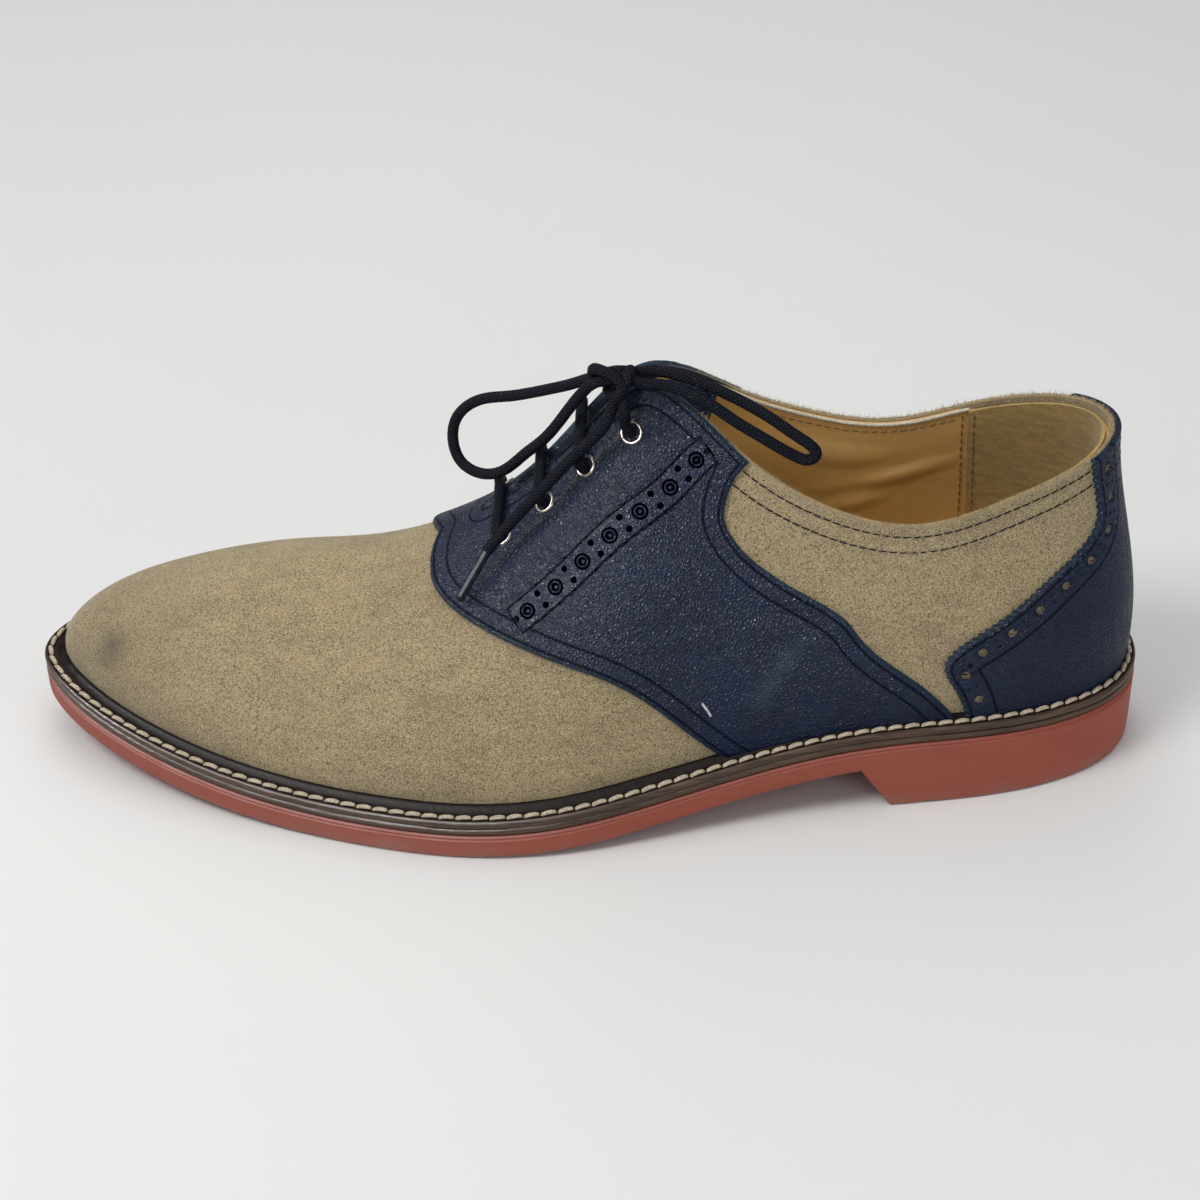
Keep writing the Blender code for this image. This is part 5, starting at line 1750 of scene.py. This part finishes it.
class SHOE_OT_counter(bpy.types.Operator):
    """Navy counter round the heel, with a pinked edge, punched holes and its seams"""

    bl_idname = "shoe.counter"
    bl_label = "Counter"

    def execute(self, context):
        colours, sizes = settings()
        rises = np.linspace(0, 1, 900)
        turns = table_line(COUNTER_FRONT, OUTER, rises)
        runs = runs_of(upper_point(turns, rises))
        rows = int(runs[-1] / 0.00030)
        places = np.linspace(0, runs[-1], rows)
        rises = np.interp(places, runs, rises)
        half = [self.half(side, rises, places, sizes) for side in (OUTER, INNER)]
        (outer, outer_values), (inner, inner_values) = half
        points = np.concatenate([outer, inner[:, -2::-1]], axis=1)
        values = {
            key: np.concatenate([value, inner_values[key][:, -2::-1]], axis=1)
            for key, value in outer_values.items()
        }
        made = grid_piece("counter_leather", points, values)
        merge_points(made, outward=False)
        add_wall(made, OVERLAY_WALL)
        seams = [("from_base", 1.7), ("from_base", 8.4)]
        leather = leather_material("Counter leather", colours, seams, "hole", (0.30, 0.25, 0.17))
        edge = cut_edge_material("Counter cut edge", (0.009, 0.022, 0.036))
        finish_piece(made, [leather, edge, leather], angle=50, replaces=("counter",))
        self.seams(sizes)
        return {"FINISHED"}

    def half(self, side, rises, places, sizes):
        start = table_line(COUNTER_FRONT, side, rises)
        line = upper_point(start, rises)
        near = np.linspace(0, 10.0, 31)
        reach = (1 - start) if side == OUTER else (start - 1)
        small = 1e-4
        forward = upper_point(start + small, rises) - upper_point(start - small, rises)
        per_mm = np.linalg.norm(forward, axis=-1) / (2 * small) * 1000
        forward = unit(forward)
        slant = np.sqrt(1 - (forward * unit(np.gradient(line, axis=0))).sum(-1) ** 2)
        per_mm = per_mm * np.maximum(slant, 0.3)
        share = np.minimum(near[None, :] / per_mm[:, None], 0.82 * reach[:, None])
        rest = np.linspace(0, 1, 15)[1:]
        share = np.concatenate([share, share[:, -1:] + (reach[:, None] - share[:, -1:]) * rest], axis=1)
        inwards = 1 if side == OUTER else -1
        turns = start[:, None] + inwards * share
        grid_rises = np.repeat(rises[:, None], turns.shape[1], axis=1)
        base = upper_point(turns, grid_rises)
        fine = np.linspace(0, 1, 900)
        from_base = nearest_mm(base, upper_point(table_line(COUNTER_FRONT, side, fine), fine))
        tooth = np.abs((places / sizes.tooth_pitch) % 1.0 - 0.5) * 2 * sizes.tooth_depth
        bite = tooth[:, None] * np.clip(1 - from_base / 2.2, 0, 1)
        sideways = unit(upper_point(start + inwards * 1e-3, rises) - line)
        along_edge = unit(np.gradient(line, axis=0))
        sideways = unit(sideways - along_edge * (sideways * along_edge).sum(-1, keepdims=True))
        hole, pinhole = self.holes(side, base, sizes)
        edge = np.minimum(from_base, 30.0)
        lift = overlay_height(edge) * 1000
        lift -= 1.15 * (1 - smooth_share(hole, 1.05, 1.30))
        lift -= 0.18 * np.exp(-(((hole - 1.65) / 0.25) ** 2))
        lift -= 0.50 * (1 - smooth_share(pinhole, 0.30, 0.60))
        points = over_upper(turns, grid_rises, lift / 1000)
        points += sideways[:, None, :] * bite[..., None]
        rim = sunk_rim(start, rises) + sideways * tooth[:, None]
        points = np.concatenate([rim[:, None], points], axis=1)
        values = {"from_base": from_base, "from_edge": edge, "hole": hole, "pinhole": pinhole}
        values = {key: np.pad(value, ((0, 0), (1, 0)), mode="edge") for key, value in values.items()}
        last = np.concatenate([turns[-1:, :1], turns[-1:]], axis=1)
        points = np.concatenate([points, sunk_rim(last, np.ones_like(last))])
        values = {key: np.pad(value, ((0, 1), (0, 0)), mode="edge") for key, value in values.items()}
        return points, values

    def holes(self, side, base, sizes):
        """Distances to the punched holes and to the pinholes between them, in millimetres."""
        sign = -1 if side == OUTER else 1
        rises = np.linspace(0.05, 1, 300)
        turns, rises = beside(table_line(COUNTER_FRONT, side, rises), rises, sign * 0.0048)
        line = upper_point(turns, rises)
        runs = runs_of(line)
        count = int(runs[-1] / sizes.hole_spacing)
        middles = (np.arange(count) + 0.45) * runs[-1] / count
        hole = nearest_mm(base, points_at(middles, runs, line))
        between = (middles[:-1] + middles[1:]) / 2
        pins = []
        for offset in (-0.0011, 0.0011):
            aside = upper_point(*beside(turns, rises, offset))
            pins.append(points_at(between, runs, aside))
        return hole, nearest_mm(base, np.concatenate(pins))

    def seams(self, sizes):
        places = []
        for side in (OUTER, INNER):
            for turns, rises in seam_rows(COUNTER_FRONT, side, COUNTER_SEAMS):
                places.append(seam_on_upper(turns, rises, OVERLAY_HEIGHT - 0.0002, sizes.stitch_pitch))
        top = np.linspace(float(turn_at(0.966)), 2 - float(turn_at(0.966)), 120)
        for offset in COLLAR_SEAMS:
            turns, rises = beside(top, np.ones_like(top), -offset)
            places.append(seam_on_upper(turns, rises, OVERLAY_HEIGHT - 0.0002, sizes.stitch_pitch))
        model = stitch_model(sizes.stitch_pitch * 0.84, 0.00050, 0.00042)
        made = joined_copies("counter_stitches", model, np.concatenate(places))
        finish_piece(made, [thread_material("Counter thread", (0.004, 0.005, 0.010))])


class SHOE_OT_tongue(bpy.types.Operator):
    """Leather tongue under the facings, with a sunk seam line round its edge, darkened as painted shade"""

    bl_idname = "shoe.tongue"
    bl_label = "Tongue"

    start_foot = 0.405
    end_foot = 0.562
    side_rise = 0.66
    reach = 0.015

    def execute(self, context):
        colours, sizes = settings()
        points = self.face()
        made = grid_piece("tongue_leather", points, {"from_edge": self.from_edge(points)})
        if made.data.polygons[len(made.data.polygons) // 2].normal.z < 0:
            made.data.flip_normals()
        add_wall(made, TONGUE_THICKNESS)
        leather = leather_material("Tongue leather", colours, [("from_edge", 2.2)])
        edge = cut_edge_material("Tongue edge", (0.060, 0.110, 0.120))
        lining = smooth_leather_material("Tongue lining", shade(colours.lining, 0.85))
        finish_piece(made, [leather, edge, lining], angle=50, replaces=("tongue",))
        return {"FINISHED"}

    def face(self):
        rises = np.linspace(self.side_rise, 1, 16)
        shares = np.linspace(0, 1, 60)
        foot = self.start_foot + (self.end_foot - self.start_foot) * shares
        rows = []
        for turn in turn_at(foot):
            sides = [over_upper(np.full(16, t), rises, np.full(16, -TONGUE_DEPTH)) for t in (turn, 2 - turn)]
            gap = sides[1][-1] - sides[0][-1]
            bridge = sides[0][-1] + gap * np.linspace(0, 1, 12)[1:-1, None]
            rows.append(np.concatenate([sides[0], bridge, sides[1][::-1]]))
        rows = np.array(rows)
        heading = (rows[-1] - rows[-8]).mean(axis=0)
        heading[2] *= 0.30
        heading = unit(heading)
        last, middle = rows[-1], rows[-1].mean(axis=0)
        tip = []
        for share in np.linspace(0, 1, 20)[1:]:
            narrow = 1.0 - 0.38 * share**1.8
            corner = np.sqrt(np.clip(1 - (np.abs(np.linspace(-1, 1, len(last))) ** 4) * share, 0.2, 1))
            ring = middle + (last - middle) * np.array([1.0, narrow, narrow])
            tip.append(ring + heading * self.reach * share * corner[:, None])
        return np.concatenate([rows, np.array(tip)])

    def from_edge(self, points):
        border = np.concatenate([points[:, 0], points[-1], points[::-1, -1]])
        return nearest_mm(points, smooth_path(border[::3], 0.0004))


class SHOE_OT_eyelets(bpy.types.Operator):
    """Nickel eyelets, each a rolled ring with its barrel"""

    bl_idname = "shoe.eyelets"
    bl_label = "Eyelets"

    # Section of the ring: radius and height over the leather, in millimetres
    section = (
        (2.15, -3.0),
        (2.15, -0.2),
        (2.20, 0.25),
        (2.38, 0.48),
        (2.62, 0.55),
        (2.86, 0.48),
        (3.02, 0.25),
        (3.08, 0.00),
        (2.95, -0.12),
        (2.50, -0.12),
        (2.45, -0.30),
        (2.45, -3.0),
    )

    def execute(self, context):
        metal = metal_material("Antique nickel", (0.40, 0.36, 0.30), 0.26)
        for name, foot, rise in EYELETS:
            for side, side_name in SIDES:
                turn = float(turn_on(foot, side))
                self.ring(turn, rise, f"{name}_{side_name}", metal)
        return {"FINISHED"}

    def ring(self, turn, rise, name, metal):
        out = upper_normal(turn, rise)
        centre = upper_point(turn, rise) + out * OVERLAY_HEIGHT
        aside = unit(np.cross(out, [1.0, 0.0, 0.2]))
        above = np.cross(out, aside)
        angles = np.linspace(0, 2 * np.pi, 41)[None, :, None]
        spokes = np.cos(angles) * aside + np.sin(angles) * above
        section = np.array(self.section + self.section[:1]) / 1000
        points = centre + spokes * section[:, None, :1] + out * section[:, None, 1:]
        made = grid_piece(f"nickel_{name}", points)
        merge_points(made)
        finish_piece(made, [metal], angle=50, replaces=(f"eyelet_{name}",))


# Lace


def eyelet_turn(name, side):
    _, foot, rise = next(row for row in EYELETS if row[0] == name)
    return float(turn_on(foot, side)), rise


def eyelet_places(name, side):
    """Place on the upper under an eyelet, and the outward direction there."""
    turn, rise = eyelet_turn(name, side)
    return upper_point(turn, rise), upper_normal(turn, rise)


def bar_half(name, side):
    """Points of a lace bar from its eyelet over the facing to the throat."""
    turn, rise = eyelet_turn(name, side)
    over = OVERLAY_HEIGHT + LACE_DIAMETER / 2
    base, out = eyelet_places(name, side)
    points = [base + out * (over + 0.0011)]
    for level, lift in ((rise + 0.045, over + 0.0010), (rise + 0.10, over + 0.0006), (1.0, over + 0.0004)):
        points.append(over_upper(turn, level, lift))
    return points


def bar_points(name):
    outer, inner = bar_half(name, OUTER), bar_half(name, INNER)
    middle = (outer[-1] + inner[-1]) / 2 + np.array([0.0, 0.0, 0.0003])
    return outer + [middle] + inner[::-1]


def under_run(first, last, side):
    """Points under the facing from one eyelet down its hole to another and up it."""
    start, start_out = eyelet_places(first, side)
    end, end_out = eyelet_places(last, side)
    ways = []
    for share in (0.18, 0.5, 0.82):
        place = start * (1 - share) + end * share
        out = unit(start_out * (1 - share) + end_out * share)
        ways.append(place - out * UNDER_RUN_DEPTH)
    return [start - start_out * 0.0012] + ways + [end - end_out * 0.0012]


class SHOE_OT_lace(bpy.types.Operator):
    """The lace through its eyelets, in straight bars with the runs between them under the facings"""

    bl_idname = "shoe.lace"
    bl_label = "Lace through the eyelets"

    def execute(self, context):
        colours, _ = settings()
        knot = np.array(KNOT_CENTRE)
        path = [knot + np.array([0.0016, -0.0040, -0.0030]), knot + np.array([0.0022, -0.0056, -0.0062])]
        top_outer, out = eyelet_places("top", OUTER)
        path += [top_outer + out * 0.0040 + np.array([-0.0006, 0.0, 0.0016]), top_outer + out * 0.0010]
        path += under_run("top", "third", OUTER)
        path += bar_points("third")
        path += under_run("third", "bottom", INNER)
        path += bar_points("bottom")[::-1]
        path += under_run("bottom", "second", OUTER)
        path += bar_points("second")
        path += under_run("second", "top", INNER)
        top_inner, out = eyelet_places("top", INNER)
        path += [top_inner + out * 0.0030, top_inner + out * 0.0044 + np.array([0.0, -0.0025, 0.0020])]
        path += [knot + np.array([0.0010, 0.0026, -0.0036])]
        made = cord_mesh("laced_cord", smooth_path(path, CORD_STEP), LACE_DIAMETER)
        bars = [f"lace_bar_{row[0]}" for row in EYELETS]
        finish_piece(made, [lace_material(colours)], replaces=bars)
        return {"FINISHED"}


class SHOE_OT_bow(bpy.types.Operator):
    """The bow: knot, two loops and the free end with its tip"""

    bl_idname = "shoe.bow"
    bl_label = "Bow"

    def execute(self, context):
        colours, _ = settings()
        cord = lace_material(colours)
        self.length("bow_loop_front", FRONT_LOOP, "lace_loop_front", cord, "knot", [])
        self.length("bow_loop_back", BACK_LOOP, "lace_loop_back", cord, "knot", [])
        tip = self.tip()
        self.length("bow_end", FREE_END, "lace_end", cord, "fitting", [tip, self.knot(cord)])
        return {"FINISHED"}

    def length(self, name, places, node, cord, far_end, with_pieces):
        """One loop or end of the bow, made as a cord."""
        path = smooth_path(places, CORD_STEP)
        made = cord_mesh(name, path, LACE_DIAMETER)
        finish_piece(made, [cord], replaces=(node,))

    def knot(self, cord):
        strands = []
        for name, steps in KNOT_STRANDS:
            points = np.array(KNOT_CENTRE) + np.array(steps) / 1000
            strands.append(cord_mesh(f"knot_{name}", smooth_path(points, CORD_STEP), LACE_DIAMETER * 0.97))
        made = join("bow_knot", strands)
        return finish_piece(made, [cord], replaces=("lace_knot",))

    def tip(self):
        start, end = np.array(FREE_END[-1]), np.array(AGLET_END)
        heading = unit(end - start)
        near = start + heading * 0.0002
        places = np.linspace(0, AGLET_LENGTH, 24)[:, None]
        made = cord_mesh("lace_tip", near + heading * places, AGLET_DIAMETER, around=24)
        return finish_piece(made, [plastic_tip_material()], angle=50, replaces=("lace_aglet",))


# Stage


class SHOE_OT_stage(bpy.types.Operator):
    """Pale floor, soft studio light and the photograph's camera"""

    bl_idname = "shoe.stage"
    bl_label = "Stage"

    def execute(self, context):
        scene = context.scene
        self.camera(scene)
        deselect()
        bpy.ops.mesh.primitive_plane_add(size=8.0, location=(0, 0, 0))
        floor = bpy.context.object
        floor.name = "floor"
        floor.data.materials.append(floor_material((0.76, 0.765, 0.76)))
        for row in LAMPS:
            self.light(*row)
        world = bpy.data.worlds.new("Studio")
        world.use_nodes = True
        world.node_tree.nodes["Background"].inputs["Color"].default_value = (0.93, 0.96, 1.0, 1.0)
        world.node_tree.nodes["Background"].inputs["Strength"].default_value = 0.22
        scene.world = world
        scene.view_settings.view_transform = "Standard"
        return {"FINISHED"}

    def camera(self, scene):
        yaw, pitch, roll = (math.radians(angle) for angle in CAMERA_TURN)
        right = Vector((math.cos(yaw), -math.sin(yaw), 0.0))
        level = Vector((math.sin(yaw), math.cos(yaw), 0.0))
        forward = level * math.cos(pitch) - Vector((0.0, 0.0, math.sin(pitch)))
        up = right.cross(forward)
        rolled_right = right * math.cos(roll) + up * math.sin(roll)
        rolled_up = up * math.cos(roll) - right * math.sin(roll)
        data = bpy.data.cameras.new("photo_camera")
        data.sensor_width = CAMERA_SENSOR
        data.lens = CAMERA_LENS
        data.clip_start = 0.02
        camera = bpy.data.objects.new("photo_camera", data)
        scene.collection.objects.link(camera)
        turned = Matrix((rolled_right, rolled_up, -forward)).transposed().to_4x4()
        camera.matrix_world = Matrix.Translation(Vector(CAMERA_PLACE) - Vector(CENTRE)) @ turned
        scene.camera = camera

    def light(self, name, place, size, power, colour, gloss_only):
        """A round lamp aimed at the shoe. With gloss_only it adds highlights and no other light."""
        data = bpy.data.lights.new(name, "AREA")
        data.shape = "DISK"
        data.size = size
        data.energy = power
        data.color = colour
        lamp = bpy.data.objects.new(name, data)
        lamp.location = place
        lamp.rotation_mode = "QUATERNION"
        lamp.rotation_quaternion = (Vector((0, 0, 0.04)) - Vector(place)).to_track_quat("-Z", "Y")
        lamp.visible_diffuse = not gloss_only
        bpy.context.scene.collection.objects.link(lamp)


OPERATORS = (
    SHOE_OT_stage,
    SHOE_OT_bow,
    SHOE_OT_lace,
    SHOE_OT_outsole,
    SHOE_OT_midsole,
    SHOE_OT_welt,
    SHOE_OT_footbed,
    SHOE_OT_suede_body,
    SHOE_OT_lining,
    SHOE_OT_saddle,
    SHOE_OT_brogue_strips,
    SHOE_OT_counter,
    SHOE_OT_tongue,
    SHOE_OT_eyelets,
)


class SHOE_PT_panel(bpy.types.Panel):
    """Pieces of the shoe and their settings"""

    bl_idname = "SHOE_PT_panel"
    bl_label = "Saddle shoe"
    bl_space_type = "VIEW_3D"
    bl_region_type = "UI"
    bl_category = "Shoe"

    def draw(self, context):
        for group in (context.scene.shoe_colours, context.scene.shoe_sizes):
            box = self.layout.box()
            for name in group.__annotations__:
                box.prop(group, name)
        for item in OPERATORS:
            self.layout.operator(item.bl_idname)


CLASSES = (ShoeColours, ShoeSizes, *OPERATORS, SHOE_PT_panel)


def register():
    for item in CLASSES:
        bpy.utils.register_class(item)
    bpy.types.Scene.shoe_colours = bpy.props.PointerProperty(type=ShoeColours)
    bpy.types.Scene.shoe_sizes = bpy.props.PointerProperty(type=ShoeSizes)


def unregister():
    del bpy.types.Scene.shoe_sizes
    del bpy.types.Scene.shoe_colours
    for item in reversed(CLASSES):
        bpy.utils.unregister_class(item)


def main():
    register()
    for item in OPERATORS:
        getattr(bpy.ops.shoe, item.bl_idname.split(".")[1])()


if __name__ == "__main__":
    main()
